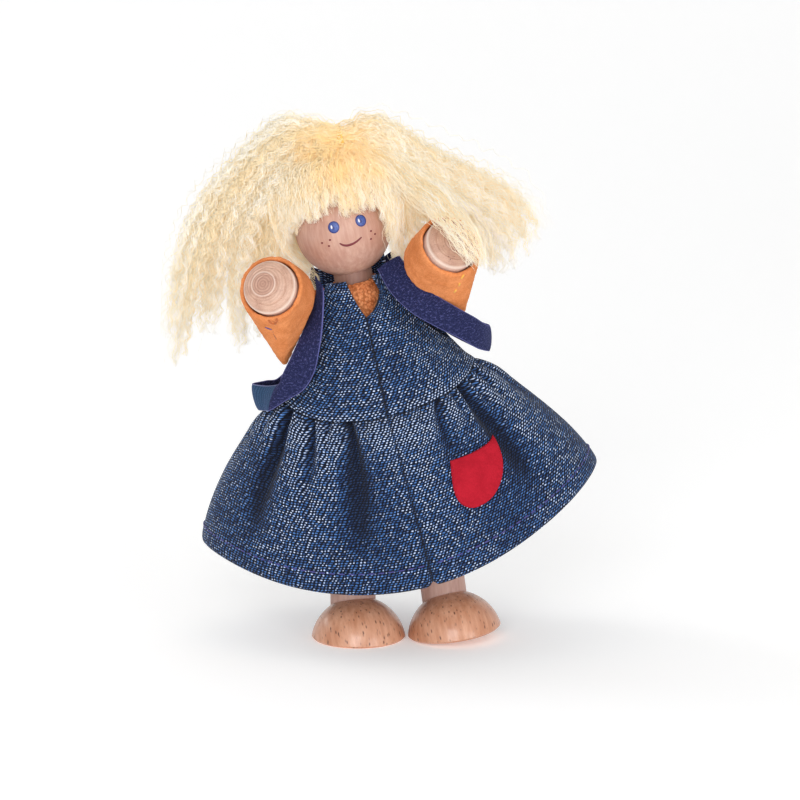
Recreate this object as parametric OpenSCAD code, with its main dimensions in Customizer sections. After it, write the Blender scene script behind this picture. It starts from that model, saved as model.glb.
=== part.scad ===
// Bendable wooden dollhouse girl in a denim pinafore, leaning over one foot with both arms raised.
// Millimetres. The doll faces -Y and stands with its right sole on z = 0.
// Left and right are the doll's own, so left is +X.

/* [Head and neck] */
// Diameter of the turned ball head
head_d = 20; // [18:0.5:22]
// Diameter of the neck
neck_d = 8; // [6.5:0.25:8.5]
// Length of neck that shows under the head
neck_show = 2.2; // [1.6:0.1:3.4]
// Diameter of the spigot that the head turns on
spigot_d = 5; // [3.5:0.25:5.5]

/* [Body] */
// Height of the turned body from its underside to the foot of the neck
body_h = 31; // [29:0.5:34]
// Diameter of the body at its underside
body_d = 19.5; // [18:0.5:21]
// Diameter of the body at the shoulders
shoulder_d = 10; // [9:0.25:10.5]
// Sideways lean of the body off the upright
lean = 11.5; // [8:0.5:13]

/* [Legs and feet] */
// Diameter of each half-ball foot
foot_d = 20; // [18:0.5:21]
// How much of the half ball is cut away under each foot
foot_cut = 1.5; // [0:0.1:2.5]
// Chamfer round the edge of each sole
foot_edge = 0.5; // [0.3:0.1:1]
// How far each foot reaches ahead of its leg
foot_forward = 3.8; // [2:0.2:4.5]
// How far the toes turn to the doll's left
toe_turn = 18; // [0:1:25]
// Diameter of the leg dowels
leg_d = 9.5; // [8:0.25:10]
// Height of the leg dowel's top above its sole
leg_h = 39.7; // [37:0.1:44]
// Wood left under the dowel in each foot
sole_t = 3; // [2:0.25:4]
// Distance of each leg wire from the body's centre line
hip_x = 7.2; // [6.8:0.1:7.8]
// Gap between body and leg in which the wire bends
hip_gap = 3; // [2.4:0.2:4]
// Outward splay of the left leg off the upright
splay = 8; // [6:0.5:10]

/* [Arms] */
// Distance of each arm's bend from the body's centre line
arm_x = 12.5; // [12:0.25:14]
// Distance of the arms' bends below the foot of the neck
arm_drop = 2.5; // [2:0.25:3.5]
// Length of each arm from its bend to the end of the hand
arm_len = 22; // [20:0.5:24]
// How far the left arm points outward
left_yaw = 31; // [26:1:38]
// How far the left arm points up
left_pitch = 28; // [22:1:34]
// How far the right arm points outward
right_yaw = 12; // [8:1:18]
// How far the right arm points up
right_pitch = 25; // [20:1:30]
// Diameter of the turned hands
hand_d = 11; // [9.5:0.25:11.5]
// Length of the turned hands
hand_h = 8; // [7:0.25:9]
// How far the hand stands out of its sleeve
hand_show = 2.6; // [1.5:0.1:3.5]
// Radius of the sleeve at its fullest
sleeve_r = 7; // [6.7:0.1:7.4]
// How far the sleeve's point hangs below the arm
sleeve_drop = 11.5; // [9:0.5:12.5]

/* [Wire and fits] */
// Diameter of the leg wires
leg_wire_d = 1.6; // [1.2:0.1:1.8]
// Diameter of the arm wires
arm_wire_d = 1.4; // [1:0.1:1.6]
// How far each wire goes into the wood
wire_in = 10; // [7:0.5:11]
// Radial clearance of turned pieces in their bores
fit = 0.05; // [0.02:0.01:0.1]
// Clearance between soft pieces and their neighbours
soft_gap = 0.3; // [0.2:0.05:0.4]

/* [Pinafore] */
// Half the width of the waist
waist_a = 20.6; // [19:0.2:22]
// Half the depth of the waist
waist_b = 13.6; // [12.6:0.2:15]
// Height of the waist seam at the sides
waist_z = 8.5; // [7:0.25:10]
// How far the waist seam dips at the front and back
waist_dip = 3.3; // [1.5:0.1:4]
// Half the width across the top of the bodice
top_a = 7.4; // [7:0.1:8]
// Half the depth of the top of the bodice
top_b = 6.9; // [6.6:0.1:7.6]
// Height of the top of the bodice above the foot of the neck
top_rise = 2; // [1:0.25:2.5]
// Depth of the neck opening below the top of the bodice
vee_drop = 9.5; // [7:0.5:12]
// Half the width of the hem
hem_a = 42; // [38:0.5:46]
// Half the depth of the hem
hem_b = 25.5; // [24:0.5:30]
// Height of the hem at the sides
hem_side_z = -15.5; // [-18:0.5:-13]
// Height of the hem at the front and back
hem_front_z = -29; // [-30:0.5:-26]
// Thickness of the denim with its turnings
denim_t = 1; // [0.8:0.1:1.2]
// Depth of the gathers
gather = 1.1; // [0.4:0.1:1.4]
// Width of the ribbon straps
strap_w = 5.6; // [5:0.2:6]
// Thickness of the ribbon
strap_t = 0.5; // [0.4:0.05:0.6]

/* [Felt] */
// Thickness of the blouse felt
felt_t = 1.1; // [0.8:0.1:1.2]
// Thickness of the pocket felt
pocket_t = 1; // [0.8:0.1:1.4]
// Width of the pocket as an angle round the skirt
pocket_turn = 18; // [14:1:22]
// Length of the pocket as a part of the skirt's length
pocket_part = 0.3; // [0.24:0.01:0.36]

/* [Hair] */
// Thickness of the hair on the head
hair_t = 2.6; // [2:0.1:3]
// Radius of the hair where the thread ties it
tie_r = 4; // [3.4:0.1:4.4]
// Diameter of the tying thread
thread_d = 0.9; // [0.6:0.1:1.1]
// Fullness of the side bunches
bunch_fill = 1; // [0.8:0.05:1.05]

/* [Hidden] */
$fn = 64;
BEECH = "#d9a988";
STEEL = "#b4b7bb";
FELT = "#f0924e";
DENIM = "#33507f";
RIBBON = "#2d2f6a";
RED = "#cf2436";
HAIR = "#f3dd9a";

arm_z = body_h - arm_drop;
top_z = body_h + top_rise;
vee_z = top_z - vee_drop;
head_r = head_d / 2;
head_z = body_h + neck_show + head_r;
seat_z = head_z - sqrt(pow(head_r, 2) - pow(neck_d / 2, 2)) + 0.4;
spigot_top = head_z - head_r * 0.1;
foot_r = foot_d / 2;
sole_r = sqrt(pow(foot_r, 2) - pow(foot_cut, 2)) - foot_edge;
hip_z = leg_h + hip_gap / 2;
body_x = hip_x * cos(lean) - hip_gap / 2 * sin(lean);
body_z = hip_z + hip_x * sin(lean) + hip_gap / 2 * cos(lean);
left_hip = [body_x + hip_x * cos(lean) + hip_gap / 2 * sin(lean),
    0, body_z + hip_x * sin(lean) - hip_gap / 2 * cos(lean)];
// The left leg's wire is drawn out until the inner edge of its tilted sole meets the floor.
left_reach = (left_hip[2] + (foot_forward * sin(toe_turn) - sole_r) * sin(splay)) / cos(splay);
skirt_turns = 18;
// Outline of the turned body from its thickest part up to the neck, as radius and height.
body_line = [[body_d / 2 - 0.6, 6], [mix(body_d, shoulder_d, 0.62) / 2, body_h * 0.58], [shoulder_d / 2, arm_z - 2],
    [shoulder_d / 2, arm_z + 1], [neck_d / 2, body_h]];

// Puts a piece of the upper body in place, leaning over the right leg.
module on_body() {
    translate([body_x, 0, body_z]) rotate([0, -lean, 0]) children();
}

// Puts a piece of the left leg in place, with its sole at the local z = 0.
module on_left_leg() {
    translate(left_hip) rotate([0, -splay, 0]) translate([0, 0, -left_reach]) children();
}

// Puts a piece of an arm in place, with +Z along the arm and +Y up. side is +1 for left.
module on_arm(side) {
    yaw = side > 0 ? left_yaw : -right_yaw;
    pitch = side > 0 ? left_pitch : right_pitch;
    on_body() translate([side * arm_x, 0, arm_z]) rotate([90 - pitch, 0, yaw]) children();
}

// A closed cloth between two grids of points of the same size. The first grid is the outer face.
module sheet(outer, inner) {
    rows = len(outer);
    cols = len(outer[0]);
    half = rows * cols;
    points = concat([for (r = outer) for (p = r) p], [for (r = inner) for (p = r) p]);
    cells = [for (i = [0 : rows - 2]) for (j = [0 : cols - 2]) i * cols + j];
    front = [for (k = cells) for (f = [[k, k + cols, k + 1], [k + 1, k + cols, k + cols + 1]]) f];
    back = [for (f = front) [f[0] + half, f[2] + half, f[1] + half]];
    low = [for (j = [0 : cols - 1]) j];
    right = [for (i = [1 : rows - 1]) i * cols + cols - 1];
    high = [for (j = [cols - 2 : -1 : 0]) (rows - 1) * cols + j];
    left = [for (i = [rows - 2 : -1 : 1]) i * cols];
    edge = concat(low, right, high, left);
    n = len(edge);
    rim = [for (k = [0 : n - 1]) let (a = edge[k], b = edge[(k + 1) % n])
        for (f = [[a, b, a + half], [b, b + half, a + half]]) f];
    polyhedron(points, concat(front, back, rim));
}

// A closed solid through rings of points of the same count, with a point at each end.
module loft(rings, first, last) {
    m = len(rings);
    n = len(rings[0]);
    points = concat([for (r = rings) for (p = r) p], [first, last]);
    sides = [for (i = [0 : m - 2]) for (j = [0 : n - 1]) let (a = i * n + j, b = i * n + (j + 1) % n)
        for (f = [[a, a + n, b], [b, a + n, b + n]]) f];
    caps = [for (j = [0 : n - 1]) let (k = (j + 1) % n)
        for (f = [[m * n, j, k], [m * n + 1, (m - 1) * n + k, (m - 1) * n + j]]) f];
    polyhedron(points, concat(sides, caps));
}

// A smooth path through chosen points, with n steps from each to the next.
function eased(p, n) = let (m = len(p)) [for (k = [0 : (m - 1) * n]) let (
    i = min(floor(k / n), m - 2), t = k / n - i,
    a = p[max(i - 1, 0)], b = p[i], c = p[i + 1], d = p[min(i + 2, m - 1)])
    0.5 * (2 * b + (c - a) * t + (2 * a - 5 * b + 4 * c - d) * t * t
        + (3 * b - a - 3 * c + d) * t * t * t)];

function mix(a, b, t) = a + (b - a) * t;
function unit(v) = v / norm(v);

// Turned wood

module torso() {
    spigot_r = spigot_d / 2;
    profile = concat([[0, 0], [body_d / 2 - 0.8, 0], [body_d / 2, 0.8]], body_line,
        [[neck_d / 2, seat_z], [spigot_r, seat_z], [spigot_r, spigot_top - 0.6], [spigot_r - 0.6, spigot_top],
        [0, spigot_top]]);
    color(BEECH) on_body() difference() {
        rotate_extrude() polygon(profile);
        for (s = [-1, 1]) translate([s * hip_x, 0, -1]) cylinder(d = leg_wire_d + 2 * fit, h = wire_in + 1);
        for (s = [-1, 1]) translate([s * 0.6, 0, arm_z]) rotate([0, s * 90, 0])
            cylinder(d = arm_wire_d + 2 * fit, h = body_d);
    }
}

module head() {
    color(BEECH) on_body() translate([0, 0, head_z]) difference() {
        sphere(d = head_d);
        translate([0, 0, -head_d]) cylinder(d = neck_d + 4 * fit, h = head_d + seat_z - head_z + 2 * fit);
        translate([0, 0, -head_d]) cylinder(d = spigot_d + 2 * fit, h = head_d + spigot_top - head_z + 0.5);
    }
}

module foot_shape() {
    forward = [foot_forward * sin(toe_turn), -foot_forward * cos(toe_turn), 0];
    difference() {
        translate(forward) intersection() {
            translate([0, 0, -foot_cut]) sphere(d = foot_d);
            cylinder(r1 = sole_r, r2 = sole_r + foot_d, h = foot_d);
        }
        translate([0, 0, sole_t]) cylinder(d = leg_d + 2 * fit, h = foot_d);
    }
}

module leg_shape() {
    round_r = leg_d / 2;
    profile = [[0, sole_t], [round_r, sole_t], [round_r, leg_h - 1], [round_r - 1, leg_h], [0, leg_h]];
    difference() {
        rotate_extrude() polygon(profile);
        translate([0, 0, leg_h - wire_in]) cylinder(d = leg_wire_d + 2 * fit, h = wire_in + 1);
    }
}

module right_foot() {
    color(BEECH) foot_shape();
}

module left_foot() {
    color(BEECH) on_left_leg() foot_shape();
}

module right_leg() {
    color(BEECH) leg_shape();
}

module left_leg() {
    color(BEECH) on_left_leg() leg_shape();
}

module hand_shape() {
    r = hand_d / 2;
    neck = r - 1.6;
    profile = [[0, 0], [neck, 0], [neck, 1.6], [r - 0.5, 2.4], [r, 3.2], [r, hand_h - 1.9], [r - 0.5, hand_h - 1.1],
        [r * 0.74, hand_h - 0.65], [r * 0.7, hand_h - 0.72], [r * 0.66, hand_h - 0.5], [r * 0.44, hand_h - 0.2],
        [r * 0.4, hand_h - 0.28], [r * 0.36, hand_h - 0.14], [0, hand_h]];
    difference() {
        translate([0, 0, arm_len - hand_h]) rotate_extrude() polygon(profile);
        translate([0, 0, arm_len - hand_h - 1]) cylinder(d = arm_wire_d + 2 * fit, h = hand_h * 0.6 + 1);
    }
}

module right_hand() {
    color(BEECH) on_arm(-1) hand_shape();
}

module left_hand() {
    color(BEECH) on_arm(1) hand_shape();
}

// Wires, each bent where it leaves the body and a little fuller at the bend

module right_leg_wire() {
    r = leg_wire_d / 2;
    color(STEEL) translate([0, 0, hip_z]) union() {
        sphere(r = r + 0.05);
        translate([0, 0, -hip_gap / 2 - wire_in + 0.4]) cylinder(r = r, h = hip_gap / 2 + wire_in - 0.4);
        rotate([0, -lean, 0]) cylinder(r = r, h = hip_gap / 2 + wire_in - 0.4);
    }
}

module left_leg_wire() {
    r = leg_wire_d / 2;
    below = left_reach - leg_h + wire_in - 0.4;
    color(STEEL) translate(left_hip) union() {
        sphere(r = r + 0.05);
        rotate([0, -splay, 0]) translate([0, 0, -below]) cylinder(r = r, h = below);
        rotate([0, -lean, 0]) cylinder(r = r, h = hip_gap / 2 + wire_in - 0.4);
    }
}

module arm_wire(side) {
    r = arm_wire_d / 2;
    color(STEEL) union() {
        on_body() translate([side * arm_x, 0, arm_z]) rotate([0, -side * 90, 0]) cylinder(r = r, h = arm_x - 1);
        on_arm(side) sphere(r = r + 0.05);
        on_arm(side) cylinder(r = r, h = arm_len - hand_h * 0.4 - 0.4);
    }
}

module right_arm_wire() {
    arm_wire(-1);
}

module left_arm_wire() {
    arm_wire(1);
}

// Felt blouse and sleeves

module blouse() {
    start = mix(body_line[0], body_line[1], 0.6);
    line = concat([start], [for (k = [1 : 4]) body_line[k]], [[neck_d / 2, body_h + 0.9]]);
    profile = concat([for (p = line) [p[0] + soft_gap * 0.6, p[1]]],
        [for (k = [5 : -1 : 0]) [line[k][0] + soft_gap * 0.6 + felt_t, line[k][1]]]);
    stub_r = 2.9;
    stub_x = shoulder_d / 2 + 0.4;
    color(FELT) on_body() difference() {
        union() {
            rotate_extrude() polygon(profile);
            for (s = [-1, 1]) translate([s * stub_x, 0, arm_z]) rotate([0, s * 90, 0])
                cylinder(r = stub_r, h = arm_x - 3 - stub_x);
        }
        for (s = [-1, 1]) translate([0, 0, arm_z]) rotate([0, s * 90, 0])
            cylinder(d = arm_wire_d + 2 * soft_gap, h = arm_x);
    }
}

module sleeve_shape(side) {
    cuff = arm_len - hand_show;
    difference() {
        hull() {
            translate([0, 0, cuff - 0.6]) cylinder(r = sleeve_r - 0.3, h = 0.6, $fn = 40);
            translate([side * 0.4, 0, arm_len * 0.45]) cylinder(r = sleeve_r, h = 0.8, $fn = 40);
            translate([side * 0.2, 0, 1.4]) cylinder(r = 2.7, h = 0.4, $fn = 24);
            translate([side * 3.4, -sleeve_drop, 2.4]) sphere(r = 0.8, $fn = 16);
        }
        translate([0, 0, arm_len - hand_h - 0.4]) cylinder(d = hand_d + 2 * soft_gap, h = hand_h + 1);
        translate([0, 0, -1]) cylinder(d = arm_wire_d + 2 * soft_gap, h = arm_len);
    }
}

module right_sleeve() {
    color(FELT) on_arm(-1) sleeve_shape(-1);
}

module left_sleeve() {
    color(FELT) on_arm(1) sleeve_shape(1);
}

// Pinafore. Angles run round the body from the front centre, positive to the doll's left.

function waist_at(phi) = waist_z - waist_dip * pow(cos(phi), 2);
function bodice_point(phi, v, cut) = [
    (mix(waist_a, top_a, pow(v, 0.92)) - cut) * sin(phi),
    -(mix(waist_b, top_b, pow(v, 0.9)) - cut) * cos(phi),
    mix(waist_at(phi), top_z, v)];
vee_v = (vee_z - waist_z + waist_dip) / (top_z - waist_z + waist_dip);
function armhole(v) = v < 0.22 ? 90 : 90 - 38 * pow((v - 0.22) / 0.78, 0.6);
function neckline(v) = v < vee_v ? 0 : 28 * (v - vee_v) / (1 - vee_v);
bodice_rows = [0, 0.22, 0.42, vee_v, mix(vee_v, 1, 0.5), 1];
bodice_steps = 18;

module bodice_panel(side, cut) {
    grid = [for (v = bodice_rows) [for (k = [0 : bodice_steps])
        bodice_point(side * mix(neckline(v), armhole(v), k / bodice_steps), v, cut)]];
    lining = [for (v = bodice_rows) [for (k = [0 : bodice_steps])
        bodice_point(side * mix(neckline(v), armhole(v), k / bodice_steps), v, cut + denim_t)]];
    if (side > 0)
        sheet(grid, lining);
    else
        sheet(lining, grid);
}

module bodice_front_right() {
    color(DENIM) on_body() bodice_panel(-1, 0);
}

module bodice_front_left() {
    color(DENIM) on_body() bodice_panel(1, 0);
}

module bodice_back() {
    turns = [for (k = [-bodice_steps : bodice_steps]) k / bodice_steps];
    grid = [for (v = bodice_rows) [for (t = turns) bodice_point(180 + armhole(v) * t, v, 0)]];
    lining = [for (v = bodice_rows) [for (t = turns) bodice_point(180 + armhole(v) * t, v, denim_t)]];
    color(DENIM) on_body() sheet(grid, lining);
}

function hem_at(phi) = mix(hem_side_z, hem_front_z, pow(cos(phi), 2));
function fold_at(phi, v) = gather * 4 * v * exp(1 - 4 * v) * cos(skirt_turns * phi + 40 * sin(3 * phi));
function skirt_point(phi, v, lift) = let (
    out = 1 - pow(1 - v, 1.3), r = fold_at(phi, v) + lift)
    [(mix(waist_a, hem_a, out) + r) * sin(phi), -(mix(waist_b, hem_b, out) + r) * cos(phi),
    mix(waist_at(phi) - fit / 2, hem_at(phi), pow(v, 1.3))];
skirt_rows = [for (k = [0 : 7]) pow(k / 7, 1.2)];

module skirt_panel(from, to, steps) {
    angles = [for (k = [0 : steps]) mix(from, to, k / steps)];
    grid = [for (v = skirt_rows) [for (a = angles) skirt_point(a, v, 0)]];
    lining = [for (v = skirt_rows) [for (a = angles) skirt_point(a, v, -denim_t)]];
    color(DENIM) on_body() sheet(lining, grid);
}

module skirt_front_right() {
    skirt_panel(-90, 0, 18);
}

module skirt_front_left() {
    skirt_panel(0, 90, 18);
}

module skirt_back() {
    skirt_panel(90, 270, 36);
}

module pocket() {
    middle = 29;
    slant = 5;
    top_v = 0.45;
    rows = [0, 0.2, 0.4, 0.6, 0.8, 0.92, 1];
    angles = [for (k = [-5 : 5]) k / 5];
    spread = [for (t = rows) pocket_turn / 2 * sqrt(1.04 - pow(t, 2.6))];
    rise = soft_gap + 0.15;
    grid = [for (i = [0 : 6]) [for (a = angles)
        skirt_point(middle + spread[i] * a - slant * rows[i], top_v + pocket_part * rows[i], rise)]];
    face = [for (i = [0 : 6]) [for (a = angles)
        skirt_point(middle + spread[i] * a - slant * rows[i], top_v + pocket_part * rows[i],
            rise + pocket_t)]];
    color(RED) on_body() sheet(grid, face);
}

// Ribbon straps. Each runs from the front of the shoulder, out round the arm and in to the back.
// The points between are measured from the arm's bend.

module strap(side, loop, across) {
    path = concat([strap_front], [for (p = loop) p + [arm_x, 0, arm_z]], [strap_back]);
    run = eased(path, 3);
    lie = [for (v = eased(across, 3)) unit(v)];
    m = len(run);
    flow = [for (k = [0 : m - 1]) unit(run[min(k + 1, m - 1)] - run[max(k - 1, 0)])];
    out = [for (k = [0 : m - 1]) unit(cross(flow[k], lie[k]))];
    mirrored = function (p) [side * p[0], p[1], p[2]];
    top = [for (k = [0 : m - 1]) [for (e = [-1, 0, 1])
        mirrored(run[k] + lie[k] * e * strap_w / 2 + out[k] * strap_t / 2)]];
    under = [for (k = [0 : m - 1]) [for (e = [-1, 0, 1])
        mirrored(run[k] + lie[k] * e * strap_w / 2 - out[k] * strap_t / 2)]];
    color(RIBBON) on_body() if (side > 0)
        sheet(under, top);
    else
        sheet(top, under);
}

strap_front = [top_a - 0.4, -top_b + 0.6, top_z + 1.2];
strap_back = [top_a - 0.4, top_b - 0.2, top_z + 1];

module right_strap() {
    loop = [[-3.7, -7.2, -0.1], [-1.8, -9.2, -6.1], [2.9, -10.4, -11.5], [8.1, -8.2, -15.3],
        [11.3, -2.6, -16.9], [8.7, 4.6, -16.1], [2.5, 9.8, -10.5], [-1.9, 9.4, -1.9]];
    across = [[0.3, 0.9, 0.15], [0.3, 0.9, 0.15], [0.62, 0.55, 0.4], [0.84, 0.1, 0.5], [0.84, 0.1, 0.5],
        [0.5, 0.1, 0.8], [0.4, 0.1, 0.9], [0.7, 0.2, 0.6], [0.75, 0.3, 0.55], [0.75, 0.3, 0.55]];
    strap(-1, loop, across);
}

module left_strap() {
    loop = [[-2.8, -9.2, -1], [1.1, -11.2, -5.6], [5.7, -10.4, -9.3], [9.5, -7.2, -12.5],
        [11.9, -1.6, -14.1], [9.1, 4.6, -13.5], [2.9, 9.8, -8.9], [-1.9, 9.4, -1.5]];
    across = [[0.75, 0.1, 0.6], [0.76, 0, 0.62], [0.72, 0, 0.66], [0.7, 0, 0.7], [0.66, 0.1, 0.74],
        [0.5, 0.1, 0.86], [0.4, 0.1, 0.9], [0.7, 0.2, 0.6], [0.75, 0.3, 0.55], [0.75, 0.3, 0.55]];
    strap(1, loop, across);
}

// Hair. Points are measured from the middle of the head on a head 20 across.

hair_in = head_r + soft_gap * 0.7;
hair_out = hair_in + hair_t;
tie_x = 2.6;
tie_up = (hair_out + tie_r + thread_d + soft_gap) * 20 / head_d;
function ball_point(turn, down, r) = [r * sin(down) * sin(turn), -r * sin(down) * cos(turn), r * cos(down)];

module hair_cap(from, to, steps, edge) {
    rows = [for (k = [0 : 6]) k / 6];
    turns = [for (k = [0 : steps]) mix(from, to, k / steps)];
    inside = [for (v = rows) [for (a = turns) ball_point(a, mix(9, edge(a), v), hair_in)]];
    outside = [for (v = rows) [for (a = turns) ball_point(a, mix(9, edge(a), v),
        hair_out - 0.25 * (1 + cos(10 * a)) - hair_t * 0.35 * pow(v, 3))]];
    color(HAIR) on_body() translate([0, 0, head_z]) sheet(inside, outside);
}

module hair_fringe() {
    hair_cap(-90, 90, 20, function (a) 54 + 46 * (1 - cos(a)));
}

module hair_back() {
    hair_cap(90, 270, 20, function (a) 100 + 6 * abs(sin(2 * (a - 90))));
}

// One bunch. path gives its middle line, wide and deep its half sizes at the same points.
module bunch(side, path, wide, deep) {
    sides = 20;
    k0 = head_d / 20;
    run = eased(path * k0, 3);
    w = eased(wide * k0 * bunch_fill, 3);
    d = eased(deep * k0 * bunch_fill, 3);
    m = len(run);
    flow = [for (k = [0 : m - 1]) k < 2 ? [side, 0, 0] : unit(run[min(k + 1, m - 1)] - run[k - 1])];
    up = [for (f = flow) unit(cross(f, [0, side, 0]))];
    deepwise = [for (k = [0 : m - 1]) unit(cross(up[k], flow[k]))];
    lobes = function (t, k) 1 + (k < 2 ? 0 : 0.09 * cos(5 * t + 14 * k));
    clear_r = hair_out + soft_gap;
    push = function (p) p * max(1, clear_r / norm(p));
    rings = [for (k = [0 : m - 1]) [for (j = [0 : sides - 1]) let (t = -360 * j / sides)
        push(run[k] + (up[k] * w[k] * cos(t) + deepwise[k] * d[k] * sin(t)) * lobes(t, k))]];
    color(HAIR) on_body() translate([0, 0, head_z]) loft(rings, run[0], run[m - 1]);
}

module hair_right() {
    path = [[tie_x - 0.2, 0, tie_up], [tie_x - 3.4, 0.6, tie_up + 0.2], [-7.4, 4, 16.4], [-16.2, 8.8, 10.6],
        [-24.2, 11.6, 1], [-30.8, 13, -9.8], [-37, 13.2, -19.6], [-40.4, 13, -25]];
    bunch(-1, path, [tie_r, 6.2, 8.6, 10.2, 11, 9, 5, 1.6], [tie_r, 4.6, 5.4, 6, 6.2, 5.4, 3.4, 1.2]);
}

module hair_left() {
    path = [[tie_x + 0.2, 0, tie_up], [tie_x + 3.4, 0.6, tie_up - 0.4], [11.4, 4, 13.6], [16, 7, 9.6],
        [22, 9.6, 3], [27.6, 11.4, -4.4], [31.8, 12, -12], [34, 12, -18]];
    bunch(1, path, [tie_r, 5.4, 6.4, 7.4, 8.4, 8.6, 7, 2], [tie_r, 4.4, 5.2, 5.6, 6, 6, 5, 1.6]);
}

module hair_tie() {
    color(HAIR) on_body() translate([tie_x * head_d / 20, 0, head_z + tie_up * head_d / 20]) rotate([0, 90, 0])
        rotate_extrude() translate([tie_r + soft_gap + thread_d / 2, 0]) circle(d = thread_d, $fn = 24);
}

torso();
head();
right_leg();
left_leg();
right_foot();
left_foot();
right_leg_wire();
left_leg_wire();
right_hand();
left_hand();
right_arm_wire();
left_arm_wire();
blouse();
right_sleeve();
left_sleeve();
bodice_front_right();
bodice_front_left();
bodice_back();
skirt_front_right();
skirt_front_left();
skirt_back();
right_strap();
left_strap();
pocket();
hair_fringe();
hair_back();
hair_right();
hair_left();
hair_tie();
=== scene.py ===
# %% [markdown]
# A bendable wooden dollhouse girl in a denim pinafore, about 11 cm tall. The solid pieces come from
# the CAD model as a fixed frame, and this file dresses that frame: beech, denim, felt, ribbon, wool.
# Everything is in metres, and helpers below turn millimetres in the doll's own frames into metres.

# %% Load the frame
import math
import bmesh
import bpy
import numpy as np
from mathutils import Matrix, Vector, noise


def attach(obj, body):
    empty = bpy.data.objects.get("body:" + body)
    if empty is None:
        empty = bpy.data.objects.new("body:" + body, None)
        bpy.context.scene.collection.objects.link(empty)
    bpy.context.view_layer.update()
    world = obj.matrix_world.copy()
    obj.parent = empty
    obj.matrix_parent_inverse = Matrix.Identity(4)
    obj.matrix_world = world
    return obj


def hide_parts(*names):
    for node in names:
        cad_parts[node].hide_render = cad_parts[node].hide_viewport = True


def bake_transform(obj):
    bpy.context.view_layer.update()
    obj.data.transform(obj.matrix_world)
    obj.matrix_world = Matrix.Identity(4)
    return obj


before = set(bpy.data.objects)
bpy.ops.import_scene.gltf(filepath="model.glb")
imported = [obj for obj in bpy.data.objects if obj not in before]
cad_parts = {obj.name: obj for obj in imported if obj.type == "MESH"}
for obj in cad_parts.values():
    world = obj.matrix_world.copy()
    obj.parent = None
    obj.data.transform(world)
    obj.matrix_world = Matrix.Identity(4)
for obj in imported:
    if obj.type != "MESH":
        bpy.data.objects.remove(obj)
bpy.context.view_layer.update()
scene = bpy.context.scene
print("pieces in the frame:", len(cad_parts))

# %% [markdown]
# The upper body leans to one side, so the dress, straps and hair are drawn in the body's own upright
# frame and then leaned over. Working upright keeps every formula simple, and one function does the lean.

# %% Frames of the body, head and arms
MM = 0.001
LEAN = math.radians(11.5)
TILT = np.array([[math.cos(LEAN), 0, -math.sin(LEAN)], [0, 1, 0], [math.sin(LEAN), 0, math.cos(LEAN)]])
BODY_AT = np.array([6.75641, 0.0, 44.10534])
HEAD_UP = 43.2
HEAD_R = 10.0
SHOULDER_OUT, SHOULDER_UP = 12.5, 28.5
YAW_AND_PITCH = {1: (31, 28), -1: (-12, 25)}


def on_body(points):
    """Body-frame millimetres to the doll's place, still in millimetres."""
    return np.asarray(points, float) @ TILT.T + BODY_AT


def on_head(points):
    """The same for points measured from the middle of the head."""
    return on_body(np.asarray(points, float) + (0, 0, HEAD_UP))


def shoulder(side):
    """Where an arm leaves the body. side is +1 for the doll's left and -1 for its right."""
    return np.array([side * SHOULDER_OUT, 0, SHOULDER_UP])


def arm_turn(side):
    """The turn that lays +Z along an arm and keeps +Y up."""
    yaw, pitch = (math.radians(angle) for angle in YAW_AND_PITCH[side])
    return Matrix.Rotation(yaw, 3, "Z") @ Matrix.Rotation(math.pi / 2 - pitch, 3, "X")


def on_arm(points, side):
    """The same as on_body for points measured from the shoulder, with +Z along the arm."""
    return on_body(np.asarray(points, float) @ np.array(arm_turn(side)).T + shoulder(side))


print("middle of the head, mm:", np.round(on_head((0, 0, 0)), 2))

# %% [markdown]
# The picture was taken from a little above, with a long lens. The camera looks down 12 degrees from
# 0.9 m away, and the lens is chosen so that a millimetre of doll covers 4.8 of the picture's 800 pixels.

# %% Camera
LOOK_DOWN = math.radians(12)
DISTANCE = 0.9
SENSOR = 36.0
PIXELS_PER_MM, PICTURE = 4.8, 800
AIM = Vector((0.009875, 0.001, 0.04977))
eye = bpy.data.cameras.new("camera")
eye.sensor_width = SENSOR
eye.lens = SENSOR * PIXELS_PER_MM * DISTANCE / MM / PICTURE
camera = bpy.data.objects.new("camera", eye)
camera.location = AIM + Vector((0, -math.cos(LOOK_DOWN), math.sin(LOOK_DOWN))) * DISTANCE
camera.rotation_euler = (math.pi / 2 - LOOK_DOWN, 0, 0)
scene.collection.objects.link(camera)
scene.camera = camera
print("lens, mm:", round(eye.lens, 1))

# %% [markdown]
# Finishes are small node trees. A recipe holds one tree. Most of its methods add a node, link any socket
# they are handed and give back the socket that comes out, so that a finish reads from top to bottom.

# %% Helpers for finishes
def colour(code):
    """A hex colour as the linear values that a shader wants."""
    parts = [int(code[i:i + 2], 16) / 255 for i in (0, 2, 4)]
    return [x / 12.92 if x <= 0.04045 else ((x + 0.055) / 1.055) ** 2.4 for x in parts] + [1.0]


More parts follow.
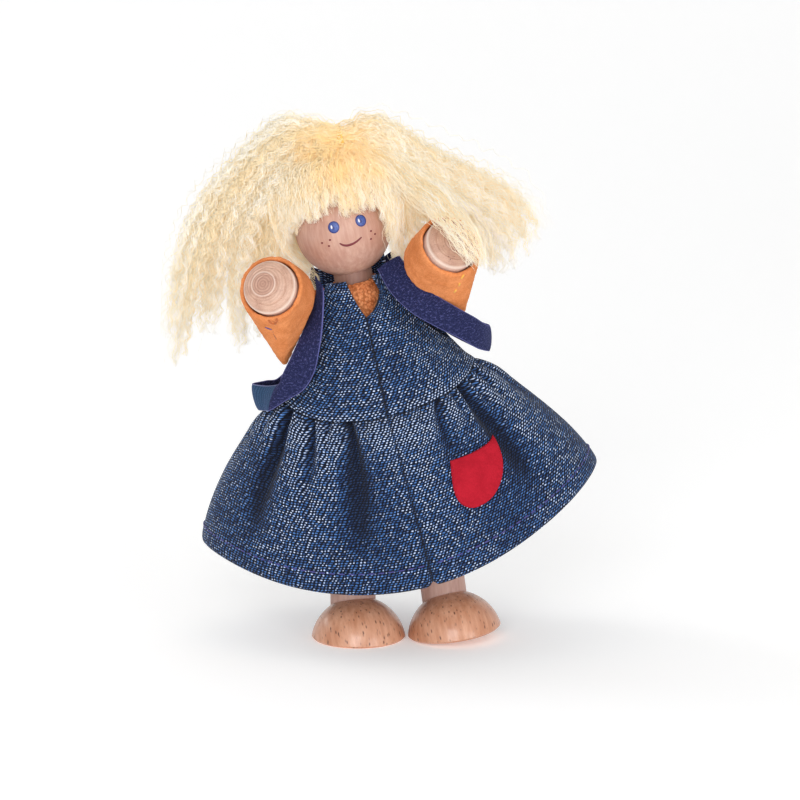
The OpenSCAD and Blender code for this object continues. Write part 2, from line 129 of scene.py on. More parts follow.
class Recipe:
    """One finish and its node tree."""

    def __init__(self, name):
        self.finish = bpy.data.materials.new(name)
        self.finish.use_nodes = True
        self.tree = self.finish.node_tree

    def feed(self, node, inputs):
        for key, value in inputs.items():
            if isinstance(value, bpy.types.NodeSocket):
                self.tree.links.new(value, node.inputs[key])
            else:
                node.inputs[key].default_value = value

    def put(self, kind, inputs=None, **settings):
        node = self.tree.nodes.new("ShaderNode" + kind)
        for key, value in settings.items():
            setattr(node, key, value)
        self.feed(node, inputs or {})
        return node.outputs

    def place(self, **moved):
        """The piece's own coordinates in millimetres."""
        at = self.put("TexCoord")["Object"]
        return self.put("Mapping", {"Vector": at, "Scale": (1000, 1000, 1000), **moved})[0]

    def stretch(self, place, *scale):
        return self.put("Mapping", {"Vector": place, "Scale": scale})[0]

    def noise(self, place, scale, detail=2.0, rough=0.5, bent=0.0):
        return self.put("TexNoise", {"Vector": place, "Scale": scale, "Detail": detail, "Roughness": rough,
                                     "Distortion": bent})[0]

    def cells(self, place, scale):
        """Distance from the middle of the nearest of many scattered cells."""
        return self.put("TexVoronoi", {"Vector": place, "Scale": scale})["Distance"]

    def far(self, place, point):
        return self.put("VectorMath", {0: place, 1: point}, operation="DISTANCE")["Value"]

    def math(self, way, a, b=0.0, c=0.0):
        return self.put("Math", {0: a, 1: b, 2: c}, operation=way)[0]

    def add(self, a, b):
        return self.math("ADD", a, b)

    def less(self, a, b):
        return self.math("SUBTRACT", a, b)

    def times(self, a, b, plus=0.0):
        return self.math("MULTIPLY_ADD", a, b, plus)

    def step(self, value, low, high, start=0.0, end=1.0):
        """A smooth step of value between low and high."""
        return self.put("MapRange", {"Value": value, "From Min": low, "From Max": high, "To Min": start,
                                     "To Max": end}, interpolation_type="SMOOTHSTEP")[0]

    def mix(self, amount, a, b):
        """Colour a turned into b. A colour is a hex code, a list or a socket."""
        a, b = (colour(x) if isinstance(x, str) else x for x in (a, b))
        return self.put("Mix", {0: amount, 6: a, 7: b}, data_type="RGBA")[2]

    def done(self, tone, values, height=None, strength=0.0, depth=0.0):
        """Feeds the surface with a colour, plain values and a bump, and gives back the finish."""
        surface = self.tree.nodes["Principled BSDF"]
        self.feed(surface, {"Base Color": tone, **values})
        if height:
            bump = self.put("Bump", {"Strength": strength, "Distance": depth, "Height": height})
            self.feed(surface, {"Normal": bump[0]})
        return self.finish


print("a middle grey in linear values:", round(colour("808080")[0], 3))

# %% [markdown]
# A catalogue picture has a white sweep and big soft lamps. The floor here is a wide pale sheet that
# curls up behind, the sky is white, a large lamp stands in front, one behind the doll's right shoulder
# gives a rim of light, and a weaker one fills the shadows.

# %% Floor and light
FLOOR_HALF = 2.2
FLOOR_PROFILE = [(-1.6, 0), (-0.8, 0), (-0.2, 0), (0.1, 0), (0.4, 0), (0.7, 0), (1.0, 0.1), (1.2, 0.35),
                 (1.25, 0.7), (1.25, 1.6)]
CHEST = (0.005, 0.0, 0.055)
LAMPS = {"key lamp": ((-0.14, -1.15, 0.45), 0.55, 7.4), "rim lamp": ((-0.7, 0.4, 0.5), 0.35, 1.3),
         "fill lamp": ((0.7, -0.9, 0.25), 0.5, 3.4)}
scene.view_settings.view_transform = "Standard"


def paper_floor():
    """White paper that lies flat, curves up far behind the doll and glows a little, as on a light table."""
    points = [(x, y, z) for y, z in FLOOR_PROFILE for x in (-FLOOR_HALF, FLOOR_HALF)]
    faces = [(2 * i, 2 * i + 1, 2 * i + 3, 2 * i + 2) for i in range(len(FLOOR_PROFILE) - 1)]
    mesh = bpy.data.meshes.new("floor")
    mesh.from_pydata(points, [], faces)
    mesh.polygons.foreach_set("use_smooth", np.full(len(faces), True))
    mesh.materials.append(Recipe("white paper").done((0.93, 0.93, 0.93, 1), {
        "Roughness": 0.9, "Specular IOR Level": 0.1, "Emission Color": (1, 1, 1, 1),
        "Emission Strength": 0.22}))
    thing = bpy.data.objects.new("floor", mesh)
    scene.collection.objects.link(thing)
    curl = thing.modifiers.new("curl", "SUBSURF")
    curl.levels = curl.render_levels = 3


paper_floor()
for name, (place, size, power) in LAMPS.items():
    light = bpy.data.lights.new(name, "AREA")
    light.size, light.energy = size, power
    lamp = bpy.data.objects.new(name, light)
    lamp.location = place
    lamp.rotation_euler = (Vector(CHEST) - Vector(place)).to_track_quat("-Z", "Y").to_euler()
    scene.collection.objects.link(lamp)
world = bpy.data.worlds.new("white sky")
world.use_nodes = True
sky = world.node_tree.nodes["Background"]
sky.inputs["Color"].default_value = (1, 1, 1, 1)
sky.inputs["Strength"].default_value = 0.55
scene.world = world
scene.cycles.diffuse_bounces = 10
print("lamps:", len(LAMPS))

# %% [markdown]
# The head, hands, legs and feet are turned beech. Beech is pale and pinkish, with soft streaks along
# the grain and short dark pore flecks. The pores are stretched cells, cut off at a small distance from
# their middles, so that they stay crisp dashes. The feet are varnished and warmer than the rest.

# %% Beech
def beech(name, pale, deep, turned, fleck, fleck_size, gloss, coat=0.0, growth=0.0):
    r = Recipe(name)
    grain = r.place(Rotation=turned)
    long = r.stretch(grain, 1, 1, 0.1)
    fine = r.noise(long, 6.0)
    tone = r.times(r.noise(long, 1.1, 5.0, 0.6), 0.75, r.times(r.noise(grain, 0.16), 0.45))
    wood = r.mix(r.step(tone, 0.38, 0.8), pale, deep)
    wood = r.mix(r.step(fine, 0.52, 0.72, 0, 0.35), wood, deep)
    if growth:
        arcs = r.put("TexWave", {"Vector": grain, "Scale": 0.3, "Distortion": 2.5, "Detail": 2.0,
                                 "Detail Scale": 0.25}, wave_type="RINGS", rings_direction="Z")[1]
        wood = r.mix(r.step(arcs, 0.55, 1.0, 0, growth), wood, deep)
    pore = r.cells(r.stretch(grain, 1.5, 1.5, 0.55), 1.0)
    patchy = r.step(r.noise(grain, 0.5), 0.35, 0.62)
    mark = r.times(r.times(r.step(pore, fleck_size, fleck_size * 0.35), patchy), fleck)
    return r.done(r.mix(mark, wood, "5a3322"), {
        "Roughness": gloss, "Coat Weight": coat, "Coat Roughness": 0.16, "Subsurface Weight": 0.08,
        "Subsurface Radius": (0.0012, 0.0006, 0.0003)}, r.less(r.times(fine, 0.4), mark), 0.35, 0.00012)


HEAD_BEECH = beech("beech of the head", "c9a391", "b28473", (0, LEAN, 0), 0.45, 0.13, 0.5, 0.0, 0.2)
# The body is given darker beech than the head and legs: painted shade for the neck and body, which lie in
# shadow.
BODY_BEECH_PAINTED_SHADE = beech("beech of the body, darkened as painted shade", "987769", "835f53", (0, 0, 0), 0.4, 0.14, 0.6)
LEG_BEECH = beech("beech of the legs", "cfab9e", "b68d81", (0, 0, 0), 0.4, 0.14, 0.6)
FOOT_BEECH = beech("varnished beech of the feet", "d8a284", "bd805f", (0.5, 0.2, 0), 0.9, 0.34, 0.45, 0.45)


def finish_node(node, finish):
    """Gives a CAD piece a finish in all its slots."""
    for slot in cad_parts[node].material_slots:
        slot.material = finish
    print(node, "is", finish.name)


for node, finish in {"head": HEAD_BEECH, "torso": BODY_BEECH_PAINTED_SHADE, "right_leg": LEG_BEECH, "left_leg": LEG_BEECH,
                     "right_foot": FOOT_BEECH, "left_foot": FOOT_BEECH}.items():
    finish_node(node, finish)

# %% [markdown]
# A hand is a short dowel seen end on. The lathe leaves rings round its middle, the rim catches the light,
# which is painted on as a paler rim, and the pores show as dots. The rings belong to the arm's direction, so
# the finish first turns the doll's coordinates into the arm's frame and then measures how far a place is from
# the middle.

# %% End grain of the hands
def end_grain(name, side, middle, rings, dots, pale, deep):
    r = Recipe(name)
    back = arm_turn(side).transposed() @ Matrix(TILT.tolist()).transposed()
    arm = r.place(Location=-(back @ Vector(on_body(shoulder(side)))), Rotation=back.to_euler("XYZ"))
    flat = r.put("VectorMath", {0: arm, 1: (1, 1, 0)}, operation="MULTIPLY")[0]
    far = r.far(flat, middle)
    cloud = r.noise(arm, 0.5, 3.0)
    fine = r.noise(arm, 5.0, 4.0, 0.7)
    ring = r.times(r.math("SINE", r.times(cloud, 2.0, r.times(far, 11.0))), 0.5, 0.5)
    wood = r.mix(r.step(r.add(cloud, fine), 0.75, 1.3), pale, deep)
    wood = r.mix(r.times(r.step(far, 3.0, 2.2), 0.4), wood, "a97d6c")
    wood = r.mix(r.times(r.times(ring, r.step(far, 5.0, 1.5, 0.25, 1.0)), rings), wood, "8f6656")
    bright = r.step(r.math("ABSOLUTE", r.less(far, 2.5)), 0.22, 0.05)
    wood = r.mix(r.times(bright, rings), wood, "e6cfc0")
    pore = r.times(r.step(r.cells(arm, 1.25), 0.2, 0.1), r.times(r.step(cloud, 0.4, 0.6), dots))
    wood = r.mix(pore, wood, "4f2f22")
    # Painted highlight: the rim of the hand is paler, where it catches the light.
    wood = r.mix(r.step(r.far(flat, (0, 0, 0)), 5.05, 5.4, 0, 0.6), wood, "ecd9cb")
    return r.done(wood, {"Roughness": 0.55, "Coat Weight": 0.15, "Coat Roughness": 0.3},
                  r.less(r.times(ring, rings), pore), 0.3, 0.00012)


HANDS = {"right_hand": (-1, (-0.8, 0.5, 0), 0.55, 0.35, "cfa993", "b78d79"),
         "left_hand": (1, (0.6, -0.4, 0), 0.2, 0.9, "c29b86", "a97f6c")}
for node, values in HANDS.items():
    finish_node(node, end_grain("end grain of the " + node.replace("_", " "), *values))

# %% [markdown]
# Cloth pieces are grids of points with an outer and an inner face, joined round the rim. Real texture
# coordinates, in millimetres along the threads, go with the grid, so that a weave follows the cloth.

# %% Meshes from points
def piece(name, points, groups, finishes, picks=None, uv=None, **marks):
    """A smooth mesh from millimetre points and arrays of faces. picks gives each face's finish, uv each
    point's place on the cloth, and marks are values at the points that a finish can read."""
    corners = np.concatenate([g.ravel() for g in groups]).astype(np.int32)
    sizes = np.concatenate([np.full(len(g), g.shape[1]) for g in groups])
    mesh = bpy.data.meshes.new(name)
    mesh.vertices.add(len(points))
    mesh.vertices.foreach_set("co", (np.asarray(points) * MM).astype(np.float32).ravel())
    mesh.loops.add(len(corners))
    mesh.loops.foreach_set("vertex_index", corners)
    mesh.polygons.add(len(sizes))
    mesh.polygons.foreach_set("loop_start", (np.cumsum(sizes) - sizes).astype(np.int32))
    mesh.polygons.foreach_set("use_smooth", np.full(len(sizes), True))
    mesh.update(calc_edges=True)
    mesh.validate()
    for finish in finishes:
        mesh.materials.append(finish)
    if picks is not None:
        mesh.polygons.foreach_set("material_index", picks.astype(np.int32))
    if uv is not None:
        mesh.uv_layers.new(name="cloth").data.foreach_set("uv", uv.astype(np.float32)[corners].ravel())
    for mark, values in marks.items():
        mesh.attributes.new(mark, "FLOAT", "POINT").data.foreach_set("value", values.astype(np.float32))
    mesh.update()
    thing = bpy.data.objects.new(name, mesh)
    scene.collection.objects.link(thing)
    return thing


def turn_outward(thing):
    """Turns all faces of a closed mesh outward."""
    work = bmesh.new()
    work.from_mesh(thing.data)
    bmesh.ops.recalc_face_normals(work, faces=work.faces)
    work.to_mesh(thing.data)
    work.free()
    return thing


def grid_quads(k):
    return np.stack([k[:-1, :-1], k[:-1, 1:], k[1:, 1:], k[1:, :-1]], -1).reshape(-1, 4)


def cloth(name, outer, inner, uv, finishes, **marks):
    """A closed cloth between two grids (rows, columns, 3). Finish 0 is the face, 1 the inside, 2 the rim."""
    half = outer[..., 0].size
    k = np.arange(half).reshape(outer.shape[:2])
    quads = grid_quads(k)
    rim = np.concatenate([k[0, :], k[1:, -1], k[-1, -2::-1], k[-2:0:-1, 0]])
    after = np.roll(rim, -1)
    edge = np.stack([after, rim, rim + half, after + half], -1)
    picks = np.repeat([0, 1, 2], [len(quads), len(quads), len(edge)])
    points = np.concatenate([outer.reshape(-1, 3), inner.reshape(-1, 3)])
    marks = {mark: np.tile(values.ravel(), 2) for mark, values in marks.items()}
    return turn_outward(piece(name, points, [quads, quads[:, ::-1] + half, edge], finishes, picks,
                              np.tile(uv.reshape(-1, 2), (2, 1)), **marks))


def unit(v):
    return v / np.linalg.norm(v, axis=-1, keepdims=True)


def tubes(paths, radii, sides, across):
    """Points and faces of many thin closed tubes. paths is (tubes, points, 3), and across is any direction
    that no tube runs along."""
    count, n = paths.shape[:2]
    flow = unit(np.gradient(paths, axis=1) + 1e-9)
    side = unit(np.cross(flow, across))
    other = np.cross(flow, side)
    angle = np.linspace(0, 2 * math.pi, sides, endpoint=False)[:, None]
    ring = side[:, :, None] * np.cos(angle) + other[:, :, None] * np.sin(angle)
    ring = paths[:, :, None] + radii[:, :, None, None] * ring
    k = np.arange(count * n * sides).reshape(count, n, sides)
    after = np.roll(k, -1, axis=2)
    quads = np.stack([k[:, :-1], after[:, :-1], after[:, 1:], k[:, 1:]], -1).reshape(-1, 4)
    caps = np.concatenate([k[:, 0, ::-1], k[:, -1, :]]).reshape(-1, sides)
    return ring.reshape(-1, 3), [quads, caps]


def along(grid, axis):
    """Running length in millimetres along one axis of a grid."""
    step = np.linalg.norm(np.diff(grid, axis=axis), axis=-1)
    start = np.zeros_like(np.take(step, [0], axis))
    return np.cumsum(np.concatenate([start, step], axis), axis)


def dress(thing, body=None, node=None):
    """Hangs a piece on the body that carries it and hides the CAD piece that it replaces."""
    if body:
        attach(thing, body)
    if node:
        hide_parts(node)


print("a grid of 3 by 3 points has", len(grid_quads(np.arange(9).reshape(3, 3))), "faces")

# %% [markdown]
# Denim is dark indigo thread with paler thread crossing over it in shifted rows. Up close each crossing
# is a small blue oval with a dark gap round it, and a white spot where the dye has rubbed off. The finish
# lays out one oval per cell of a shifted grid in cloth millimetres. A value that comes with the mesh is
# high on ridges and low in creases and along seams: ridges look worn, and creases and seams get painted
# shade.

# %% Denim
THREAD_LONG, THREAD_TALL = 0.78, 0.5
ROW_SHIFT = 0.44


def oval(r, du, dv, wide, tall, soft):
    """1 in the middle of a cell's oval and 0 outside it."""
    squares = [r.math("POWER", r.math("DIVIDE", d, size), 2.0) for d, size in ((du, wide), (dv, tall))]
    return r.step(r.add(*squares), 1.0, soft)


def denim(name, pale):
    r = Recipe(name)
    place = r.put("UVMap", uv_map="cloth")[0]
    at = r.put("SeparateXYZ", {0: place})
    drift = r.times(r.less(r.noise(place, 0.5), 0.5), 1.1)
    v = r.add(r.math("DIVIDE", at[1], THREAD_TALL), drift)
    row = r.math("FLOOR", v)
    u = r.add(r.math("DIVIDE", at[0], THREAD_LONG), r.times(row, ROW_SHIFT, drift))
    cell = r.put("CombineXYZ", {0: r.math("FLOOR", u), 1: row})[0]
    chance = r.put("TexWhiteNoise", {"Vector": cell}, noise_dimensions="3D")
    shift = r.put("SeparateColor", {0: chance["Color"]})
    du = r.less(r.math("FRACT", u), r.times(shift[0], 0.16, 0.42))
    dv = r.less(r.math("FRACT", v), r.times(shift[1], 0.16, 0.42))
    dv = r.times(du, 0.35, dv)
    thread = oval(r, du, dv, 0.47, 0.4, 0.1)
    spot = oval(r, du, dv, 0.27, 0.31, 0.2)
    rub = r.put("Attribute", attribute_name="rub")["Fac"]
    worn = r.times(chance[0], 0.55, r.times(r.noise(place, 0.12, 3.0), 0.45, r.times(rub, 0.7)))
    slub = r.noise(place, 1.3, 3.0)
    fade = r.times(slub, 0.6, r.times(shift[2], 0.3, r.times(rub, 0.25)))
    blue = r.mix(r.step(fade, 0.35, 0.85), "1d3868", "4f80c4")
    # Painted shade: where the value is low, in creases and along seams, the blue darkens towards deep navy.
    blue = r.mix(r.step(rub, 0.3, 0.0, 0, 0.72), blue, "0d1730")
    bare = r.times(spot, r.step(worn, 0.8, 1.2, 0.0, pale))
    tone = r.mix(bare, r.mix(thread, "080d1c", blue), "d5e2f7")
    return r.done(tone, {"Roughness": 0.9, "Sheen Weight": 0.08, "Sheen Roughness": 0.6,
                         "Specular IOR Level": 0.15}, r.times(slub, 0.4, thread), 0.7, 0.0002)


DENIM = denim("denim face", 1.0)
DENIM_BACK = denim("denim inside", 0.5)
print("threads per cm:", round(10 / THREAD_TALL))

# %% [markdown]
# The skirt is a gathered bell. Its waist edge is drawn up on a thread, which makes a few deep creases
# that fade towards the hem. Each crease has its angle round the body at the waist and lower down, a depth,
# a reach and a width; those at the front follow the picture, those at the back come from a seeded draw.

# %% Shape of the skirt
WAIST_A, WAIST_B, WAIST_Z, WAIST_DIP = 20.6, 13.6, 8.5, 3.3
HEM_A, HEM_B, HEM_SIDE, HEM_FRONT = 42.0, 25.5, -15.5, -29.0
SEAM_TURN, SEAM_SLANT = 4.5, 1.5
FLARE = 1.3
FRONT_CREASES = [(-86, -80, 1.5, 0.55, 3.2), (-74, -66, 1.2, 0.35, 2.2), (-62, -52, 3.6, 0.86, 3.1),
                 (-44, -32.5, 3.0, 0.6, 2.1), (-31, -26, 2.0, 0.24, 1.6), (-20.5, -13, 3.2, 0.85, 2.9),
                 (-10.5, -8, 1.3, 0.28, 1.8), (14, 12, 0.7, 0.2, 1.8), (26, 18, 0.9, 0.26, 1.9),
                 (39.5, 25.5, 2.4, 0.52, 2.5), (49, 39, 2.2, 0.28, 1.5), (58, 47.5, 3.6, 0.9, 3.3),
                 (68, 54, 2.4, 0.38, 1.6), (77, 64, 2.2, 0.36, 1.6), (88, 82, 1.5, 0.55, 3.2)]


def back_creases():
    draw = np.random.default_rng(7)
    angles = np.arange(98, 264, 11.5) + draw.uniform(-3, 3, 15)
    return [(a, a + draw.uniform(-4, 4), draw.uniform(1.0, 2.6), draw.uniform(0.35, 0.8),
             draw.uniform(2.0, 3.0)) for a in angles]


CREASES = FRONT_CREASES + back_creases()


def apart(a, b):
    return (a - b + 180) % 360 - 180


def hump(x, wide):
    """A smooth bump of height 1 round zero."""
    return np.exp(-(x / wide) ** 2)


def seam_at(v):
    """Angle of the front seam, which drifts round a little on its way down."""
    return SEAM_TURN + SEAM_SLANT * v


def crease_depth(turn, v):
    """How far the cloth stands in or out at an angle and a share of its length, in millimetres."""
    total = 0.9 * hump(v - 0.14, 0.13) - 0.7 * hump(v, 0.025)
    for first, last, deep, runs, wide in CREASES:
        angle = last + (first - last) * np.exp(-v / 0.12)
        fade = np.clip(1 - v / runs, 0, 1) ** 0.9 * np.clip(0.3 + v / 0.07, 0, 1)
        total = total - deep * fade * hump(apart(turn, angle), wide * (1 + 0.9 * v))
    rolling = 0.55 * np.sin(np.radians(7 * turn + 35 * np.sin(np.radians(2 * turn)))) * np.clip(v * 2, 0, 1)
    return total + rolling * np.clip(1.25 - v, 0, 1)


def waist_rise(turn):
    """At its two sides the waist seam is pulled up by the straps."""
    return 2.8 * hump(apart(turn, -72), 24) + 2.4 * hump(apart(turn, 94), 26)


def waist_level(turn):
    return WAIST_Z - WAIST_DIP * np.cos(np.radians(turn)) ** 2


def skirt_at(turn, v, lift=0.0, gathers=1.0):
    """A point of the skirt at an angle from the front and a share of the way down."""
    a = np.radians(turn)
    out = 1 - (1 - v) ** FLARE
    seam = hump(apart(turn, seam_at(v)), 0.8)
    r = gathers * crease_depth(turn, v) + lift - (0.45 + 0.45 * v ** 6) * seam
    hem = HEM_SIDE + (HEM_FRONT - HEM_SIDE) * np.cos(a) ** 2 + 0.7 * seam * np.clip(v * 8 - 7, 0, 1)
    level = waist_level(turn)
    z = level + (hem - level) * v ** FLARE + waist_rise(turn) * (1 - v) ** 2
    return np.stack([(WAIST_A + (HEM_A - WAIST_A) * out + r) * np.sin(a),
                     -(WAIST_B + (HEM_B - WAIST_B) * out + r) * np.cos(a), z + 0 * r], -1)


print("creases:", len(CREASES))

# %% [markdown]
# The three panels share their edges exactly, as sewn cloth does. The hem is turned up, so the cloth is
# a little fuller below the hem stitches.

# %% Skirt panels
SKIRT_CLOTH = 0.7
HEM_STITCH_V = 0.9


def skirt_panel(name, start, end, columns, rows=64):
    v, t = np.meshgrid(np.linspace(0, 1, rows) ** 1.15, np.linspace(0, 1, columns), indexing="ij")
    first, last, straight = start, end, columns // 2
    if end == 0:
        last, straight = seam_at(v), -1
    if start == 0:
        first, straight = seam_at(v), 0
    turn = first + (last - first) * t
    fuller = 0.12 * np.clip((v - HEM_STITCH_V) * 60, 0, 1) * np.clip((1.0 - v) * 60, 0.3, 1)
    outer, inner = skirt_at(turn, v, fuller), skirt_at(turn, v, fuller - SKIRT_CLOTH)
    plain = skirt_at(turn, v, 0.0, 0.0)
    across = along(plain, 1)
    uv = np.stack([across - across[:, [straight]], along(plain, 0)], -1)
    # The value is high on ridges, for wear, and low in creases and along the seam, for painted shade; it also
    # falls a little towards the hem.
    rub = 0.62 + 0.46 * crease_depth(turn, v) - 0.15 * np.clip(v * 1.6 - 0.4, 0, 1)
    rub = np.clip(rub - 0.55 * hump(apart(turn, seam_at(v)), 0.6), 0, 1)
    thing = cloth(name, on_body(outer), on_body(inner), uv, [DENIM, DENIM_BACK, DENIM], rub=rub)
    dress(thing, "torso", name)
    wide, tall = along(outer, 1)[-1, -1] * MM, along(outer, 0)[-1].max() * MM
    print(name, "flat", round(wide / MM), "by", round(tall / MM), "mm")


skirt_panel("skirt_front_right", -90, 0, 150)
skirt_panel("skirt_front_left", 0, 90, 150)
skirt_panel("skirt_back", 90, 270, 280)

# %% [markdown]
# The hem is sewn with violet thread. Each stitch is a small rounded bead of thread, long and thin, laid
# on the cloth; one mesh holds the whole row.

# %% Thread stitches
def plain_finish(name, code, rough=0.7, sheen=0.0, grain=14.0, deep=0.25):
    """Thread or paint: one colour with a little mottling and a fine bump."""
    r = Recipe(name)
    fine = r.noise(r.place(), grain, 3.0)
    dark = [x * (1 - deep) for x in colour(code)[:3]] + [1.0]
    tone = r.mix(r.step(fine, 0.35, 0.65), dark, code)
    return r.done(tone, {"Roughness": rough, "Sheen Weight": sheen}, fine, 0.3, 0.00005)


BEAD_SHARE = np.array([0.0, 0.12, 0.5, 0.88, 1.0])
BEAD_FAT = np.array([0.25, 0.8, 1.0, 0.8, 0.25])


def beads(name, ends, thick, finish):
    """Many short rounded threads in one mesh. ends holds pairs of points in millimetres."""
    a, b = np.moveaxis(np.array(ends), 1, 0)
    paths = a[:, None] + (b - a)[:, None] * BEAD_SHARE[:, None]
    radii = np.tile(BEAD_FAT * thick / 2, (len(paths), 1))
    print(name, len(paths), "beads")
    return piece(name, *tubes(paths, radii, 6, (0.3, 0.2, 0.93)), [finish])


STITCH_STEP, STITCH_LONG, SEAM_CLEAR = 2.9, 1.9, 2.5
STITCH_LIFT, STITCH_THICK = 0.16, 0.34
VIOLET_THREAD = plain_finish("violet thread", "3c3a86", 0.6, 0.2)
hem_turns = [t for t in np.arange(-180, 180, STITCH_STEP) if abs(apart(t, seam_at(1))) > SEAM_CLEAR]
hem_ends = [on_body(skirt_at(np.array([t, t + STITCH_LONG]), np.full(2, HEM_STITCH_V), STITCH_LIFT))
            for t in hem_turns]
dress(beads("hem_stitches", hem_ends, STITCH_THICK, VIOLET_THREAD), "torso")

# %% [markdown]
# The bodice has two fronts that meet under a neck opening, and a back. It is drawn as a cone that
# narrows to the shoulders, cut away at the armholes and the neck, with a slightly raised waist seam. The
# back ends in a low stand-up collar.

# %% Bodice
TOP_A, TOP_B, TOP_Z, VEE_Z = 7.4, 6.9, 33.0, 25.2
VEE_V = (VEE_Z - WAIST_Z + WAIST_DIP) / (TOP_Z - WAIST_Z + WAIST_DIP)
ARMHOLE_V, ARMHOLE_CUT = 0.22, 41
COLLAR_UP, COLLAR_WIDER = 2.6, 0.25
BODICE_CLOTH = 0.75


def bodice_at(turn, v, lift):
    a = np.radians(turn)
    waist = waist_level(turn) + waist_rise(turn)
    return np.stack([(WAIST_A + (TOP_A - WAIST_A) * v ** 0.92 + lift) * np.sin(a),
                     -(WAIST_B + (TOP_B - WAIST_B) * v ** 0.9 + lift) * np.cos(a),
                     waist + (TOP_Z - waist) * v], -1)


def armhole(v):
    return 90 - ARMHOLE_CUT * (np.clip(v - ARMHOLE_V, 0, 1) / (1 - ARMHOLE_V)) ** 0.6


def neckline(v, side):
    """Angle from the seam to the edge of the neck opening. The opening is fuller on the doll's left."""
    up = np.clip((v - VEE_V) / (1 - VEE_V), 0, 1)
    return 19 * up if side < 0 else 30 * np.clip(up / 0.55, 0, 1) ** 0.7 - 4 * np.clip(up - 0.55, 0, 1)


def bodice_panel(name, side, columns=56, rows=60):
    v, t = np.meshgrid(np.linspace(0, 1, rows), np.linspace(0, 1, columns), indexing="ij")
    if side:
        seam = SEAM_TURN + 3.0 * np.clip(v, 0, 0.7)
        gap = neckline(v, side)
        turn = seam + side * (gap + (armhole(v) - side * seam - gap) * t)
        from_seam = np.abs(turn - seam) + 40 * (v > VEE_V + 0.03)
    else:
        turn = 180 + armhole(v) * (2 * t - 1)
        from_seam = 90 + 0 * turn
    lift = -0.7 * hump(from_seam, 0.9) + 0.45 * hump(v, 0.05) + 0.18 * hump((1 - t) * columns, 4)
    lift = lift + 0.25 * np.sin(v * 9 + turn / 9) * v * (1 - v)
    outer, inner = bodice_at(turn, v, lift), bodice_at(turn, v, lift - BODICE_CLOTH)
    if not side:
        collar = np.clip((v - 0.8) / 0.2, 0, 1) ** 2
        for grid in (outer, inner):
            grid[..., 2] += COLLAR_UP * collar
            grid[..., 0] *= 1 + COLLAR_WIDER * collar
    uv = np.stack([np.radians(turn) * (17 - 8 * v), -along(outer, 0)], -1)
    # The value is high where the cloth stands out, for wear, and low along the seam, for painted shade.
    rub = np.clip(0.55 + lift - 0.5 * hump(from_seam, 0.8), 0, 1)
    thing = cloth(name, on_body(outer), on_body(inner), uv, [DENIM, DENIM_BACK, DENIM], rub=rub)
    dress(thing, "torso", name)
    wide, tall = along(outer, 1)[:, -1].max() * MM, along(outer, 0)[-1].max() * MM
    print(name, "flat", round(wide / MM), "by", round(tall / MM), "mm")


bodice_panel("bodice_front_right", -1)
bodice_panel("bodice_front_left", 1)
bodice_panel("bodice_back", 0, 110)

# %% [markdown]
# Felt is matted wool: no threads, only a cloud of short fibres. The blouse and sleeves start from the
# CAD solids, are remeshed to even small faces, smoothed and given soft lumps, which suits a thick felt
# better than a thin sheet would. The finish is a fine noise with a strong sheen.

# %% Felt
def felt(name, code, dark, loops=0.0):
    r = Recipe(name)
    place = r.place()
    fibre = height = r.noise(place, 2.6, 5.0, 0.75, 1.2)
    tone = r.times(fibre, 0.75, r.times(r.noise(place, 0.35), 0.35))
    shade = r.mix(r.step(tone, 0.4, 0.72), dark, code)
    if loops:
        loop = r.cells(place, 1.6)
        # Painted shade: the looped felt is darker in the gaps between the loops.
        shade = r.mix(r.step(loop, 0.35, 0.75, 0, loops), shade, "7d3a14")
        height = r.less(fibre, r.times(loop, 1.5))
    return r.done(shade, {"Roughness": 0.95, "Specular IOR Level": 0.1, "Sheen Weight": 0.35,
                          "Sheen Roughness": 0.5, "Sheen Tint": colour(code)}, height, 0.6, 0.0003)


def felted(name, node, body, finish, voxel, soften, lumps, scale):
    """A felt piece from a CAD solid: even faces, rounded edges and soft lumps."""
    thing = bpy.data.objects.new(name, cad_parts[node].data.copy())
    scene.collection.objects.link(thing)
    even = thing.modifiers.new("even", "REMESH")
    even.mode, even.voxel_size = "VOXEL", voxel * MM
    soft = thing.modifiers.new("soft", "SMOOTH")
    soft.factor, soft.iterations = 0.5, soften
    mesh = bpy.data.meshes.new_from_object(thing.evaluated_get(bpy.context.evaluated_depsgraph_get()))
    thing.modifiers.clear()
    thing.data = mesh
    at, out = np.zeros((2, len(mesh.vertices) * 3), np.float32)
    mesh.vertices.foreach_get("co", at)
    mesh.vertices.foreach_get("normal", out)
    push = [noise.fractal(Vector(p) * 1000 * scale, 0.8, 2.0, 3) * lumps * MM for p in at.reshape(-1, 3)]
    mesh.vertices.foreach_set("co", at + out * np.repeat(push, 3).astype(np.float32))
    mesh.materials.clear()
    mesh.materials.append(finish)
    mesh.polygons.foreach_set("use_smooth", np.full(len(mesh.polygons), True))
    mesh.update()
    dress(thing, body, node)
    print(name, len(mesh.polygons), "faces")


ORANGE_FELT = felt("orange felt", "ea9963", "cb7642")
BLOUSE_FELT = felt("looped orange felt", "e59a69", "ba683c", 0.6)
for side in ("right", "left"):
    felted(side + "_sleeve_felt", side + "_sleeve", side + "_arm", ORANGE_FELT, 0.4, 8, 0.12, 0.9)
felted("blouse_felt", "blouse", "torso", BLOUSE_FELT, 0.35, 3, 0.3, 1.5)

# %% [markdown]
# A sleeve is closed under the hand with a few hand stitches. On one sleeve a small loop of orange thread
# and a violet stitch show, on the other a row of yellow ones. They are beads of thread in the arm's frame.

